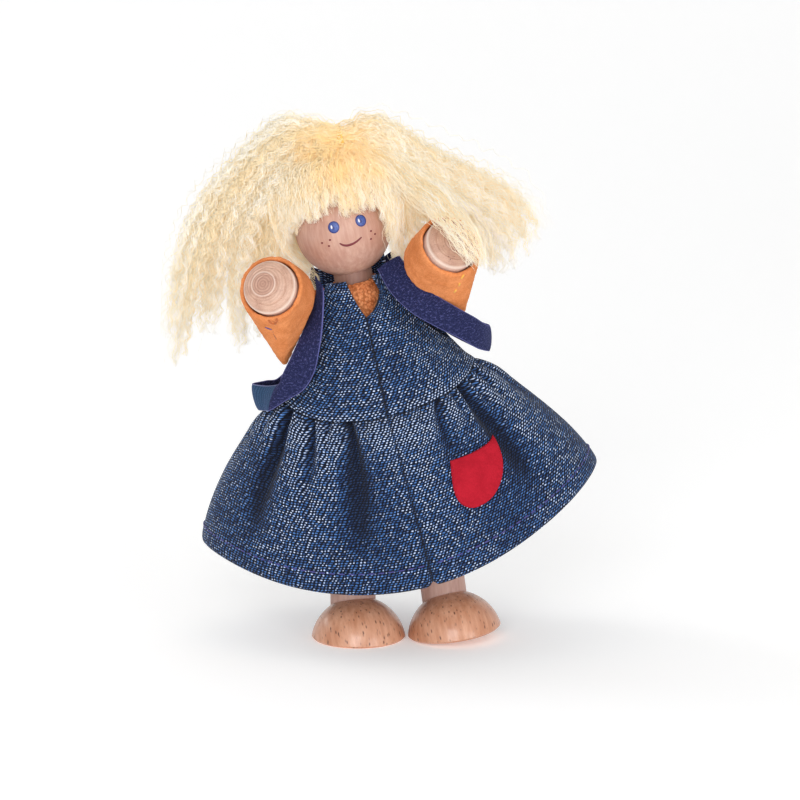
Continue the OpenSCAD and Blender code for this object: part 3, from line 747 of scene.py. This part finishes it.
# %% Sleeve stitches
ORANGE_THREAD = plain_finish("orange thread", "c96a2c", 0.7, 0.2, 9.0, 0.5)
YELLOW_STITCH = plain_finish("yellow stitch thread", "efb24a", 0.7, 0.2)
LOOP = [[-1.1, -6.5, 19.5], [-0.7, -7.2, 19.2], [0.0, -7.45, 18.9], [0.6, -7.2, 19.2], [0.8, -6.5, 19.5]]
CREASE = [[-1.3, -7.75, 15.8], [-1.7, -8.1, 14.7], [-1.85, -9.1, 11.8]]
CROSSING = [[-2.7, -7.2, 16.7], [-1.5, -7.75, 16.0]]
YELLOW_ROW = [[[0.0, -6.7, 19.3], [-0.5, -7.1, 18.2]], [[-0.45, -7.45, 17.1], [-0.4, -7.75, 15.9]],
              [[-0.6, -7.95, 14.9], [-0.75, -8.15, 13.8]]]
for name, side, runs, finish, thick in (("right_sleeve_loop", -1, [LOOP], ORANGE_THREAD, 0.5),
                                        ("right_sleeve_crease", -1, [CREASE], ORANGE_THREAD, 0.3),
                                        ("right_sleeve_stitch", -1, [CROSSING], VIOLET_THREAD, 0.4),
                                        ("left_sleeve_stitches", 1, YELLOW_ROW, YELLOW_STITCH, 0.5)):
    ends = [on_arm([a, b], side) for run in runs for a, b in zip(run[:-1], run[1:])]
    dress(beads(name, ends, thick, finish), "left_arm" if side > 0 else "right_arm")

# %% [markdown]
# The pocket is a small U of red felt, glued on. It is drawn on the skirt's own surface with a lift, so
# that it follows every fold, and its edge is rounded by a smaller lift round the outside.

# %% Pocket
RED_FELT = felt("red felt", "b92031", "a31828")
POCKET_TURN, POCKET_HALF, POCKET_V, POCKET_TALL, POCKET_SKEW = 34.2, 11.1, 0.44, 0.282, 7.6


def pocket(rows=40, columns=36):
    t, s = np.meshgrid(np.linspace(0, 1, rows), np.linspace(-1, 1, columns), indexing="ij")
    wide = POCKET_HALF * np.sqrt(np.clip(1.02 - t ** 3.0, 0.004, 2))
    turn = POCKET_TURN + wide * s - POCKET_SKEW * t
    v = POCKET_V + POCKET_TALL * t + 0.014 * (1 - s ** 2) * (1 - t)
    edge = np.minimum(np.minimum(1 - np.abs(s), t + 0.02), 1 - t + 0.02)
    crown = 0.55 + 0.55 * np.clip(edge / 0.12, 0, 1) ** 0.5
    outer, inner = on_body(skirt_at(turn, v, crown)), on_body(skirt_at(turn, v, 0.3))
    thing = cloth("pocket_felt", outer, inner, np.stack([s * 5, t * 10], -1), [RED_FELT] * 3)
    dress(thing, "torso", "pocket")
    size = along(outer, 1)[0, -1] * MM, along(outer, 0)[:, columns // 2].max() * MM
    print("pocket flat, mm:", [round(x / MM, 1) for x in size])


pocket()

# %% [markdown]
# The straps are velvet ribbon: a navy pile on the face, lilac selvedges, and a steel-blue woven back.
# The inside is the same velvet made darker, as painted shade. The finish takes the distance from the
# ribbon's middle line from the cloth coordinates.

# %% Ribbon finishes
SELVEDGE = 2.6


def ribbon(name, code, dark, edge, woven=False):
    r = Recipe(name)
    place = r.put("UVMap", uv_map="cloth")[0]
    pile = r.noise(place, 5.0, 4.0, 0.7)
    fuzz = r.noise(place, 1.9, 5.0, 0.8)
    shade = r.mix(r.step(pile, 0.35, 0.7), dark, code)
    if woven:
        rib = r.put("TexWave", {"Vector": place, "Scale": 0.75, "Distortion": 1.5, "Detail": 2.0,
                                "Detail Scale": 2.0}, bands_direction="DIAGONAL")[1]
        shade = r.mix(r.step(rib, 0.35, 0.8, 0, 0.75), shade, dark)
    else:
        shade = r.mix(r.step(fuzz, 0.5, 0.66, 0, 0.75), shade, "575a90")
    off = r.math("ABSOLUTE", r.put("SeparateXYZ", {0: place})[0])
    return r.done(r.mix(r.step(off, SELVEDGE, SELVEDGE + 0.15), shade, edge), {
        "Roughness": 0.85, "Specular IOR Level": 0.15, "Sheen Weight": 0.5, "Sheen Roughness": 0.35,
        "Sheen Tint": colour("6a70a6")}, r.add(pile, fuzz), 0.5, 0.00025)


RIBBON = ribbon("velvet ribbon", "2a305e", "10132c", "5d5f98")
# The inside of the ribbon is the velvet made darker, as painted shade on the side that faces the body.
RIBBON_PAINTED_SHADE = ribbon("velvet darkened as painted shade", "1c1e44", "0d0e26", "55548c")
RIBBON_BACK = ribbon("back of the ribbon", "426389", "20364f", "7d86aa", True)
print("ribbon finishes: face, inside and woven back")

# %% [markdown]
# Ribbon bends easily along its length and hardly at all across it. So each strap is given by its two edges,
# read off the picture where they show and guessed behind, and the cloth is laid between them with a slight
# bow. It runs from the front of the shoulder, out round the arm and in to the back. The strap on the doll's
# right turns over at a fold, and from there on the woven back of the ribbon shows.

# %% Straps
def eased(points, steps):
    """A smooth path through points, as the CAD model eases its own."""
    p = np.asarray(points, float)
    p = np.concatenate([p[:1], p, p[-1:]])
    t = (np.arange(steps) / steps)[:, None]
    runs = [0.5 * (2 * b + (c - a) * t + (2 * a - 5 * b + 4 * c - d) * t * t
                   + (3 * b - a - 3 * c + d) * t ** 3)
            for a, b, c, d in zip(p[:-3], p[1:-2], p[2:-1], p[3:])]
    return np.concatenate(runs + [p[-2:-1]])


STRAP_W, STRAP_T = 5.6, 0.5
STRAP_STEPS, STRAP_COLUMNS = 12, 15
NO_FOLD = 99
STRAPS = {
    "right_strap": (-1, 8, [[7.4, -4.9, 35.2], [7.9, -4.8, 31.6], [10.6, -7, 27], [13.2, -9.4, 23.6],
                            [15.7, -10.5, 20.3], [17.3, -10.4, 18.2], [18.4, -10.1, 16.6], [19.1, -9.7, 15.4],
                            [22, -6.2, 14.9], [24.9, -2.6, 15.2], [22.3, 1.8, 14.4], [19.7, 5, 13.9],
                            [15.5, 9.6, 17], [11.8, 9.8, 25.5], [8.6, 7.2, 35]],
                    [[6.2, -7.1, 33.2], [6.5, -9.6, 30.8], [8, -11.2, 25], [9.6, -11.8, 20.6],
                     [11.4, -12.3, 16.7], [14.3, -12.5, 13.7], [18.5, -11.1, 11.9], [22, -9.1, 10.2],
                     [23.2, -6.4, 9.8], [24.8, -2.6, 9.5], [23.2, 1.8, 9.3], [20.8, 5.4, 8.9],
                     [15.6, 10.2, 11.6], [9, 9.6, 20.6], [5.2, 6.4, 33]]),
    "left_strap": (1, NO_FOLD, [[10.4, -5.8, 36], [12.2, -9, 33], [15.4, -11.6, 28.6], [19.6, -11.8, 24.6],
                                [23, -9.6, 21.2], [25, -6, 18.4], [25.4, -1, 17.4], [22.6, 5, 18],
                                [16.6, 10.2, 22], [12.2, 9.8, 29], [9.2, 7.2, 35.2]],
                   [[5.4, -6.7, 34.3], [7.3, -9.7, 29.5], [10.6, -12.2, 25.2], [15.2, -12.9, 21.2],
                    [19.4, -11.4, 17.6], [22.4, -8, 14.2], [24.4, -1.8, 12], [21, 4.6, 12.6],
                    [14.4, 9.8, 17.2], [9, 9.2, 25], [5.2, 6.4, 33.2]]),
}


def strap(name, side, fold, outer_edge, inner_edge):
    """A ribbon between its outer and inner edge, in the body's frame with x counted outward."""
    a, b = eased(outer_edge, STRAP_STEPS), eased(inner_edge, STRAP_STEPS)
    across = np.linspace(-1, 1, STRAP_COLUMNS)[:, None]
    grid = b[:, None] + (a - b)[:, None] * (across + 1) / 2
    out = unit(np.cross(np.gradient(grid, axis=0), np.gradient(grid, axis=1)))
    bow = 0.35 * (1 - across ** 2)
    thick = STRAP_T / 2 * (1 - 0.55 * np.abs(across) ** 6)
    flip = np.array([side, 1, 1])
    top, under = on_body((grid + out * (bow + thick)) * flip), on_body((grid + out * (bow - thick)) * flip)
    uv = np.stack([np.broadcast_to(across[:, 0] * STRAP_W / 2, grid.shape[:2]), along(grid, 0)], -1)
    thing = cloth(name + "_ribbon", top, under, uv, [RIBBON, RIBBON_PAINTED_SHADE, RIBBON])
    thing.data.materials.append(RIBBON_BACK)
    per_row = STRAP_COLUMNS - 1
    turned_over = ((fold - 1) * STRAP_STEPS + 2) * per_row
    for face in thing.data.polygons[turned_over:(len(a) - 1) * per_row]:
        face.material_index = 3
    length = along(grid, 0)[-1, STRAP_COLUMNS // 2] * MM
    dress(thing, None, name)
    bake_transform(thing)
    print(name, "length, mm:", round(length / MM, 1))


for name, values in STRAPS.items():
    strap(name, *values)

# %% [markdown]
# The limbs hang on soft steel wire. Each wire is a tube that bends where it leaves the body.

# %% Wires
LEG_WIRE_R, ARM_WIRE_R = 0.8, 0.7
LEG_WIRE_IN, ARM_WIRE_ROOT, ARM_WIRE_REACH = 11.0, 1.2, 18.2
LEGS = {"right_leg": ((0, 0, 41.2), 0, 11.0), "left_leg": ((14.1105, 0, 44.0709), 8, 13.0)}


def steel():
    r = Recipe("soft steel wire")
    drawn = r.noise(r.place(), 6.0, 4.0)
    return r.done(r.mix(drawn, "8f9296", "c9ccd0"), {"Metallic": 1.0, "Roughness": 0.38}, drawn, 0.2, 0.00004)


STEEL = steel()


def tube(name, path, radius, finish, sides=12):
    """A closed tube along millimetre points."""
    radii = np.full((1, len(path)), radius)
    return turn_outward(piece(name, *tubes(path[None], radii, sides, (0.31, 0.87, 0.38)), [finish]))


def wire(name, root, bend, tip, radius):
    line = np.concatenate([np.linspace(root, bend, 24), np.linspace(bend, tip, 24)[1:]])
    for _ in range(3):
        line[1:-1] = (line[:-2] + 2 * line[1:-1] + line[2:]) / 4
    thing = tube(name + "_tube", line, radius, STEEL)
    dress(thing, None, name)
    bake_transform(thing)
    print(name, "bends at", np.round(bend, 1))


for leg, (hip, splay, down) in LEGS.items():
    hip, splay = np.array(hip), math.radians(splay)
    tip = hip + np.array([math.sin(splay), 0, -math.cos(splay)]) * down
    wire(leg + "_wire", hip + TILT[:, 2] * LEG_WIRE_IN, hip, tip, LEG_WIRE_R)
for side, arm in ((-1, "right_arm"), (1, "left_arm")):
    root = on_body((side * ARM_WIRE_ROOT, 0, SHOULDER_UP))
    tip = on_arm((0, 0, ARM_WIRE_REACH), side)
    wire(arm + "_wire", root, on_body(shoulder(side)), tip, ARM_WIRE_R)

# %% [markdown]
# The face is painted on the ball: two blue eyes, a thin red smile and a few freckles. Each dab of paint
# is a thin raised patch that follows the ball, so that it stays on the head from any side. A place on the
# ball is an angle from the front and an angle down from the top.

# %% Painted face
FACE_ROLL = math.radians(3.0)
EYES = [(-8.5, 78.7), (25.6, 78.0)]
SMILE = [(-5.4, 98.7), (-0.7, 102.1), (4.9, 103.2), (13.5, 101.5), (22.1, 97.2)]
FRECKLES = [(-26.7, 95.0), (-15.8, 92.7), (-18.8, 99.8), (35.5, 93.3), (40.7, 98.3), (34.1, 102.7)]


def ball_point(turn, down, r):
    t, d = np.radians(turn), np.radians(down)
    return np.stack([r * np.sin(d) * np.sin(t), -r * np.sin(d) * np.cos(t), r * np.cos(d)], -1)


def dab(turn, down, rise, x, y, rx, ry, count=28):
    """Points, triangles and quads of one oval patch of paint. x and y shift it from its place on the ball."""
    middle = ball_point(turn, down, 1.0)
    right = unit(np.cross(middle, (0, 0, -1.0)))
    up = np.cross(middle, right)
    c, s = math.cos(FACE_ROLL), math.sin(FACE_ROLL)
    right, up = right * c + up * s, up * c - right * s
    a = np.linspace(0, 2 * math.pi, count, endpoint=False)[:, None]
    points = [unit(middle * HEAD_R + right * x + up * y)[None] * (HEAD_R + rise)]
    for share, height in ((0.5, rise), (0.9, rise), (1.0, rise * 0.4), (1.02, -0.05)):
        spread = right * (x + rx * share * np.cos(a)) + up * (y + ry * share * np.sin(a))
        points.append(unit(middle * HEAD_R + spread) * (HEAD_R + height))
    k = np.arange(count)
    after = (k + 1) % count
    band = np.stack([1 + k, 1 + count + k, 1 + count + after, 1 + after], -1)
    quads = np.concatenate([band + count * ring for ring in range(3)])
    return np.concatenate(points), np.stack([0 * k, 1 + k, 1 + after], -1), quads


def smile():
    """A stroke along places on the ball, thick in the middle and fine at its ends."""
    line = unit(eased([ball_point(t, d, 1.0) for t, d in SMILE], 10))
    over = unit(np.cross(unit(np.gradient(line, axis=0)), line))
    n = len(line)
    wide = 0.13 + 0.17 * np.sin(np.linspace(0, math.pi, n)) ** 0.7
    rows = [unit(line * HEAD_R + over * wide[:, None] * off) * (HEAD_R + height)
            for off, height in ((-1.0, -0.05), (-0.8, 0.03), (0, 0.055), (0.8, 0.03), (1.0, -0.05))]
    return np.concatenate(rows), np.zeros((0, 3), int), grid_quads(np.arange(5 * n).reshape(5, n))


def painted(name, dabs, finish):
    starts = np.cumsum([0] + [len(points) for points, _, _ in dabs])
    groups = [np.concatenate([part[kind] + start for part, start in zip(dabs, starts)]) for kind in (1, 2)]
    thing = piece(name, on_head(np.concatenate([points for points, _, _ in dabs])), groups, [finish])
    dress(thing, "head")
    print(name, len(dabs), "dabs")


EYE_LINE = plain_finish("dark blue paint", "2b3577", 0.4)
EYE_BLUE = plain_finish("blue paint", "3f58a2", 0.4, 0, 3.0, 0.35)
EYE_WHITE = plain_finish("white paint", "e6e6f2", 0.4)
RED_PAINT = plain_finish("dark red paint", "74202a", 0.45)
painted("eye_outlines", [dab(t, d, 0.035, 0, 0, 1.2, 1.26) for t, d in EYES], EYE_LINE)
painted("eyes", [dab(t, d, 0.06, 0.04, 0, 1.0, 1.06) for t, d in EYES], EYE_BLUE)
painted("eye_lights", [dab(t, d, 0.085, -0.42, 0.12, 0.2, 0.42, 16) for t, d in EYES], EYE_WHITE)
painted("pupils", [dab(t, d, 0.08, -0.1, -0.12, 0.24, 0.4, 16) for t, d in EYES], EYE_LINE)
freckles = [dab(t, d, 0.04, 0, 0, 0.25, 0.21, 12) for t, d in FRECKLES]
painted("smile_and_freckles", [smile()] + freckles, RED_PAINT)

# %% [markdown]
# The hair is a hank of crimped wool, tied on top and combed out to both sides. The doll is handed on as
# meshes, so each strand here is a thin three-sided tube. The wool is golden by the tie and
# almost white at the ends. Locks differ from each other by a value that comes with the mesh, and strands
# by a value that the finish takes from the loose pieces of the mesh.

# %% Wool
TIE = np.array([3.4, 0.0, 17.6])
GOLDEN = (2.0, -3.5, 15.0)


def wool():
    r = Recipe("cream wool")
    place = r.place()
    cloud = r.noise(place, 0.2, 3.0)
    each = r.put("NewGeometry")["Random Per Island"]
    mixed = r.times(r.put("Attribute", attribute_name="lock")["Fac"], 0.65, r.times(each, 0.35))
    tone = r.mix(r.step(mixed, 0.1, 0.95), "fffefa", "f3dfb4")
    tone = r.mix(r.step(cloud, 0.5, 0.68, 0, 0.45), tone, "f6e2b8")
    near = r.times(r.less(cloud, 0.5), 14.0, r.far(place, on_head(GOLDEN).tolist()))
    tone = r.mix(r.step(near, 14.0, 2.0, 0, 0.62), tone, "ffd772")
    # The slight emission is painted light: the wool glows a little, brightening the shade between strands as
    # light passing through wool would.
    return r.done(tone, {"Roughness": 0.6, "Specular IOR Level": 0.35, "Sheen Weight": 0.4,
                         "Sheen Roughness": 0.4, "Sheen Tint": colour("fff6dc"),
                         "Emission Color": colour("fff2d2"), "Emission Strength": 0.11})


WOOL = wool()
print("the hair is tied at, mm:", np.round(on_head(TIE), 1))

# %% [markdown]
# Strands come in locks. A lock follows a smooth path, each strand keeps its own place in the lock, and
# all of them swing from side to side in the same crimp, a little out of step. Fine curls and a few
# strays on top keep the lock from looking like rope.

# %% Locks of wool
# A full turn in radians, near enough for the start of a wave.
CIRCLE = 6.28


def resampled(line, n):
    """A path again with n evenly spaced points, and the length at each."""
    step = np.concatenate([[0], np.cumsum(np.linalg.norm(np.diff(line, axis=0), axis=1))])
    at = np.linspace(0, step[-1], n)
    return np.stack([np.interp(at, step, line[:, k]) for k in range(3)], 1), at


def lock(line, draw, count, fat, wave, swing, points, wild=0.2):
    """Strands (count, points, 3) and their radii round one path, in millimetres."""
    line, at = resampled(line, points)
    flow = unit(np.gradient(line, axis=0))
    side = unit(np.cross(flow, (0.12, 1.0, 0.2)))
    over = np.cross(flow, side)
    t = np.linspace(0, 1, points)
    many = (count, 1)
    grow = np.clip(at / 5, 0, 1) * swing
    phase = draw.uniform(0, CIRCLE)
    beat = CIRCLE * at / wave + 0.9 * np.sin(at / 4.5 + phase)
    crimp = np.sin(beat + phase + draw.normal(0, 0.45, many)) * grow * draw.uniform(0.6, 1.3, many)
    roll = np.sin(0.6 * beat + 2 * phase + draw.normal(0, 0.7, many)) * grow * 0.8
    fuzz = [np.sin(at * draw.uniform(0.9, 2.7, many) + draw.uniform(0, CIRCLE, many))
            * draw.uniform(0.05, 0.24, many) for _ in range(4)]
    stray = 1 + (draw.uniform(size=many) < wild) * draw.uniform(0.4, 1.5, many) * t
    body = 0.5 + 0.5 * np.sin(math.pi * np.clip(0.1 + 0.74 * t, 0, 1))
    r = np.abs(draw.normal(0, 0.62, many)) * fat * body * stray
    turn = draw.uniform(0, CIRCLE, many) + draw.uniform(-1.5, 1.5, many) * t
    x = r * np.cos(turn) + crimp + fuzz[0] + fuzz[1]
    y = r * np.sin(turn) + roll + fuzz[2] + fuzz[3]
    made = line + side * x[:, :, None] + over * y[:, :, None]
    return made, draw.uniform(0.04, 0.08, many) * (1 - 0.7 * t ** 4)


WIDEST = -40.0
COMBED = 0.3


def hang(name, node, locks, closest, parts=1):
    """Puts locks on the head as a few meshes, kept off the ball of the head and combed in at the far side."""
    paths = np.concatenate([p for p, _ in locks])
    radii = np.concatenate([r for _, r in locks])
    paths = on_head(paths * np.maximum(1, closest / np.linalg.norm(paths, axis=2, keepdims=True)))
    paths[..., 0] = np.maximum(paths[..., 0], WIDEST + COMBED * (paths[..., 0] - WIDEST))
    draw = np.random.default_rng(len(paths))
    tones = np.concatenate([np.full(len(p), draw.uniform()) for p, _ in locks])
    shares = zip("abcdef", *(np.array_split(x, parts) for x in (paths, radii, tones)))
    for letter, path, radius, tone in shares:
        points, groups = tubes(path, radius, 3, (0.36, 0.48, 0.8))
        tone = np.repeat(tone, len(points) // len(path))
        thing = piece(name + "_" + letter, points, groups, [WOOL], lock=tone)
        dress(thing, "head", node if letter == "a" else None)
        print(thing.name, len(path), "strands")


print("wool is combed in past, mm:", WIDEST)

# %% [markdown]
# The two bunches hang like curtains. A few paths, read off the picture from the outer edge in, give each
# bunch its outline and its ragged ends. Locks lie between neighbouring paths and gather towards one of
# them at the tip, and each has its own place in depth.

# %% Bunches
BUNCHES = {
    "hair_right": [
        [[-1.2, 1, 21.6], [-7.4, 3, 24], [-13.7, 5, 20.8], [-21, 7, 15.8], [-27.3, 9, 10.7],
         [-32.5, 10.5, 4.6], [-36.4, 11.5, -2.6], [-39.6, 12, -10.3], [-42.6, 12, -19.3]],
        [[-2.2, 0.5, 20.8], [-8.9, 2.5, 21.2], [-16.3, 4.5, 16.7], [-23.3, 6.5, 10.9], [-28.7, 8.5, 4],
         [-32.7, 10, -3.5], [-35.8, 11, -10.9], [-39, 12, -18.7], [-42.1, 12, -25.1]],
        [[-2.1, 0, 20.4], [-10.1, 2, 18.4], [-17.5, 4, 12.7], [-23.1, 6.5, 6], [-27, 8.5, -1.1],
         [-29.7, 10, -8.4], [-31.4, 11, -14.2], [-32.1, 11.5, -19.6]],
        [[-2.8, -0.5, 19], [-10.5, 2, 14.8], [-16.5, 4, 8.7], [-20.8, 6.5, 1.8], [-23.5, 9, -5.8],
         [-25.5, 10.5, -13.1], [-26.5, 11, -19.5], [-27.5, 11, -25.2]],
        [[-2.7, -1, 17.3], [-9.5, 1.5, 11.5], [-13.8, 4, 5.2], [-17.5, 7, -1.7], [-20.2, 9.5, -9.2],
         [-21.6, 10.5, -15.8], [-22.1, 11, -21.9]],
        [[-1.8, -1.5, 15.7], [-6.8, 0.5, 10.1], [-10, 3, 3.9], [-12.5, 6, -2.5], [-14.4, 8.5, -7.4],
         [-15.7, 9.5, -11]]],
    "hair_left": [
        [[10.7, 1, 20.4], [17.3, 3, 14.8], [23, 5, 9.5], [28.8, 7, 4.8], [34.5, 8.5, 0.1], [38.2, 9.5, -5.1],
         [39.4, 10, -9.5], [38.5, 10, -13.2]],
        [[11, 0.5, 19], [17.2, 2.5, 12.3], [23, 4.5, 6.3], [28.9, 6.5, 1], [33.8, 8, -4.2], [36.6, 9, -9.8],
         [36.3, 9.5, -15.7]],
        [[11.1, 0, 17.1], [16.7, 2, 9.7], [22.5, 4, 3.1], [28.2, 6, -2.7], [32.1, 7.5, -8.5],
         [33.5, 8.5, -14.3], [32.1, 9, -18.2]],
        [[10.9, -0.5, 15.1], [16, 1.5, 7.4], [21.1, 4, 0.2], [25.7, 6, -5.6], [28.7, 8, -11.7],
         [29.4, 9, -16.8], [28, 9.5, -20.1]],
        [[10.1, -1, 13.7], [14.3, 1, 6.1], [17.8, 4, -0.4], [21.3, 7, -6.2], [24, 9, -11.8],
         [24.8, 10, -16.5]],
        [[9.2, -1.5, 13.1], [11.6, 0.5, 6.3], [12.4, 3, 0.2], [12.6, 6, -5.5], [11.8, 8, -9.2]]],
}
BUNCH_CLEAR, HEAD_CLEAR = 11.2, 10.5
STRANDS = 13


def bunch(name, seed, count, points):
    draw = np.random.default_rng(seed)
    paths = [resampled(eased([TIE] + path, 8), points)[0] for path in BUNCHES[name]]
    t = np.linspace(0, 1, points)[:, None]
    locks = []
    for i in range(count):
        first = i % (len(paths) - 1)
        share = draw.uniform(0, 1)
        gather = share + (round(share) - share) * 0.4 * t ** 2
        line = paths[first] * (1 - gather) + paths[first + 1] * gather
        deep = draw.uniform(-1, 1) * (0.8 + 4.2 * np.sin(math.pi * np.clip(t * 0.9, 0, 1)) ** 0.8)
        start = draw.normal(0, 1.0, 3) * (1 - t) ** 6
        line = line + np.array([0, 1.0, 0]) * deep + start
        line = line[:max(14, int(points * draw.uniform(0.78, 1.0)))]
        low, high, wild = (2.0, 3.0, 0.5) if i % 6 == 0 else (0.75, 1.5, 0.2)
        locks.append(lock(line, draw, STRANDS, draw.uniform(low, high), draw.uniform(2.9, 4.6),
                          draw.uniform(0.3, 0.75), points, wild))
    return locks


def wisps(locks, seed, count=1500, points=11):
    """Short loose hairs that curl away from the locks, which make the outline soft."""
    draw = np.random.default_rng(seed)
    strand = [p[draw.integers(len(p))] for p, _ in (locks[i] for i in draw.integers(0, len(locks), count))]
    at = [draw.integers(8, len(s) - 2) for s in strand]
    root = np.array([s[i] for s, i in zip(strand, at)])
    flow = unit(np.array([s[i + 1] - s[i - 1] for s, i in zip(strand, at)]))
    aim = unit(draw.normal(0, 1, (count, 3)))
    curl = unit(np.cross(aim, draw.normal(0, 1, (count, 3))))
    t = np.linspace(0, 1, points)[None, :, None]
    long = draw.uniform(2.0, 5.0, (count, 1, 1))
    bend = draw.uniform(0.2, 0.6, (count, 1, 1)) * np.sin(t * draw.uniform(3, 9, (count, 1, 1)))
    path = root[:, None] + long * t * (0.75 * flow + 0.55 * aim)[:, None] + curl[:, None] * bend
    return path, draw.uniform(0.03, 0.05, (count, 1)) * (1 - 0.6 * t[:, :, 0] ** 2)


for name, seed, count, points, parts in (("hair_right", 11, 125, 68, 4), ("hair_left", 23, 115, 58, 3)):
    locks = bunch(name, seed, count, points)
    hang(name + "_wool", name, locks, BUNCH_CLEAR, parts)
    hang(name + "_wisps", None, [wisps(locks, seed + 1)], BUNCH_CLEAR)

# %% [markdown]
# On the head itself the wool falls from the tie over the ball: a ragged fringe in front, locks beside
# the cheeks, and a longer fall behind. The paths swell out below the tie and lie close at their ends.

# %% Fringe and back hair
CLUMP = 8
FALL = ((0.36, 15.2, 1.0, 0.0), (0.6, 13.0, 1.0, 0.2), (0.83, 11.7, 0.8, 0.45), (1.0, 11.1, 0.5, 0.65))
FRINGE = [(-95, 104), (-72, 80), (-50, 70), (-30, 69), (-17, 68), (-10, 60), (-2, 60), (5, 62), (11, 65),
          (21, 66), (34, 69), (45, 72), (52, 86), (60, 106), (95, 110)]
CHEEK_LOCKS = [[[9.8, -6, 12], [10.8, -6.8, 6.1], [10.6, -6.2, 0.7], [10.2, -5.2, -4.1], [9.8, -4.5, -7.6]],
               [[9, -5, 12.5], [11.4, -5, 6], [11.4, -4.5, 0], [10.8, -3.5, -5], [10, -2.5, -8.5]],
               [[10, -3, 12.5], [13, -2, 6], [13.6, -1, 0], [12.8, 0, -5], [11.6, 1, -9]],
               [[-1.4, -6, 14.3], [-5.1, -6.5, 9.6], [-7.4, -6, 5.4], [-8.6, -5, 3.4], [-9.6, -3.6, 1.6]],
               [[-2, -5, 15], [-8, -3.6, 10], [-11.2, -1.5, 4], [-12.6, 0.8, -2], [-12.4, 3, -7]],
               [[-3, -3, 15.5], [-9.5, -1, 10], [-13, 1, 3.5], [-14.3, 3, -3], [-13.6, 4, -9]],
               [[-3, 2, 15], [-9, 4.5, 8], [-11, 5.5, 0], [-10.4, 5.8, -8], [-8.8, 6, -12.5]],
               [[-3, 4, 15], [-8.5, 6, 8], [-10, 7, 0], [-8.8, 7.4, -8], [-6.8, 7.6, -12]],
               [[8, 4, 13.5], [11, 6, 7], [11.4, 6.6, 0], [10.2, 7, -7], [8.8, 7.2, -11.5]]]
VEIL = [[[10.4, -5, 13], [15, -10, 6.9], [18.6, -15, 2], [21.3, -19.5, -1.9], [23.6, -21.5, -5.4],
         [25.4, -21, -8.8]],
        [[11, -4, 13.6], [16, -9, 8.2], [20, -14, 3.6], [23, -18.5, -0.4], [25.2, -21, -4.8],
         [26.4, -20.5, -9.2]],
        [[11.4, -4, 14], [17.6, -8.5, 9], [22, -13.5, 4.6], [25, -17.5, 0.6], [27, -20, -4.6],
         [27.6, -20, -10]]]


def fringe_edge(turn):
    """How far down the fringe reaches at an angle from the front, in degrees from the top of the ball."""
    return float(np.interp(turn, *zip(*FRINGE))) + 2.0


def back_edge(turn):
    return 120 + 5 * math.sin(math.radians(3 * turn))


def fall(seed, count, low, high, edge, points=34):
    """Locks from the tie over the ball, in clumps with ragged ends."""
    draw = np.random.default_rng(seed)
    ragged = draw.uniform(-6, 5, count // CLUMP + 1)
    locks = []
    for i in range(count):
        turn = low + (high - low) * (i + draw.uniform(0, 1)) / count
        clump = i // CLUMP
        end = edge(turn) + ragged[clump] + draw.uniform(-3, 3)
        middle = low + (high - low) * (clump + 0.5) * CLUMP / count
        lift = draw.uniform(0.0, 1.5)
        start = TIE + draw.normal(0, 0.8, 3) + (0, 0, -0.8)
        knots = [start] + [ball_point(turn + (middle - turn) * pull + draw.normal(0, 1.5), end * share,
                                      r + lift * fade) for share, r, fade, pull in FALL]
        locks.append(lock(eased(knots, 8), draw, STRANDS, draw.uniform(0.55, 1.2), draw.uniform(2.8, 4.6),
                          draw.uniform(0.12, 0.4), points, 0.12))
    return locks


def loose_locks(seed, points=44):
    """Locks beside the cheeks, and a thin veil of wool in front of the doll's left hand."""
    draw = np.random.default_rng(seed)
    locks = []
    for group, each, spread, count, fat, wave, swing, wild in (
            (CHEEK_LOCKS, 6, 0.6, STRANDS, (0.7, 1.1), (2.8, 4.4), (0.15, 0.4), 0.05),
            (VEIL, 5, 0.5, 12, (1.0, 1.6), (8, 14), (0.1, 0.35), 0.2)):
        for path in [path for path in group for _ in range(each)]:
            line = eased([TIE] + [np.array(p) + draw.normal(0, spread, 3) for p in path], 8)
            fatness, crimp, sway = (draw.uniform(*limits) for limits in (fat, wave, swing))
            locks.append(lock(line, draw, count, fatness, crimp, sway, points, wild))
    return locks


hang("fringe_wool", "hair_fringe", fall(5, 140, -95, 95, fringe_edge), HEAD_CLEAR, 2)
hang("back_wool", "hair_back", fall(6, 110, 85, 275, back_edge), HEAD_CLEAR, 2)
hang("loose_wool", None, loose_locks(8), HEAD_CLEAR, 2)

# %% [markdown]
# The hank is tied with a few turns of yellow thread, a little loose and uneven, as hand-tied thread is.
# It sits in the dip between the two bunches.

# %% Hair tie
TIE_THREAD = plain_finish("yellow thread", "f6cf6a", 0.7, 0.3, 9.0)
TIE_TURNS, TIE_R, TIE_WIDE, TIE_THREAD_R = 3.2, 2.7, 1.2, 0.22


def hair_tie():
    t = np.linspace(0, 1, 150)
    angle = 2 * math.pi * TIE_TURNS * t
    r = TIE_R + 0.2 * np.sin(5 * angle / 3 + 1) + 0.1 * np.sin(2.7 * angle)
    x = TIE[0] + (t - 0.5) * TIE_WIDE + 0.15 * np.sin(2 * angle)
    line = np.stack([x, r * np.cos(angle), TIE[2] + r * np.sin(angle)], -1)
    thing = tube("hair_tie_thread", on_head(line), TIE_THREAD_R, TIE_THREAD, 8)
    dress(thing, "head", "hair_tie")
    print("thread turns:", TIE_TURNS)


hair_tie()
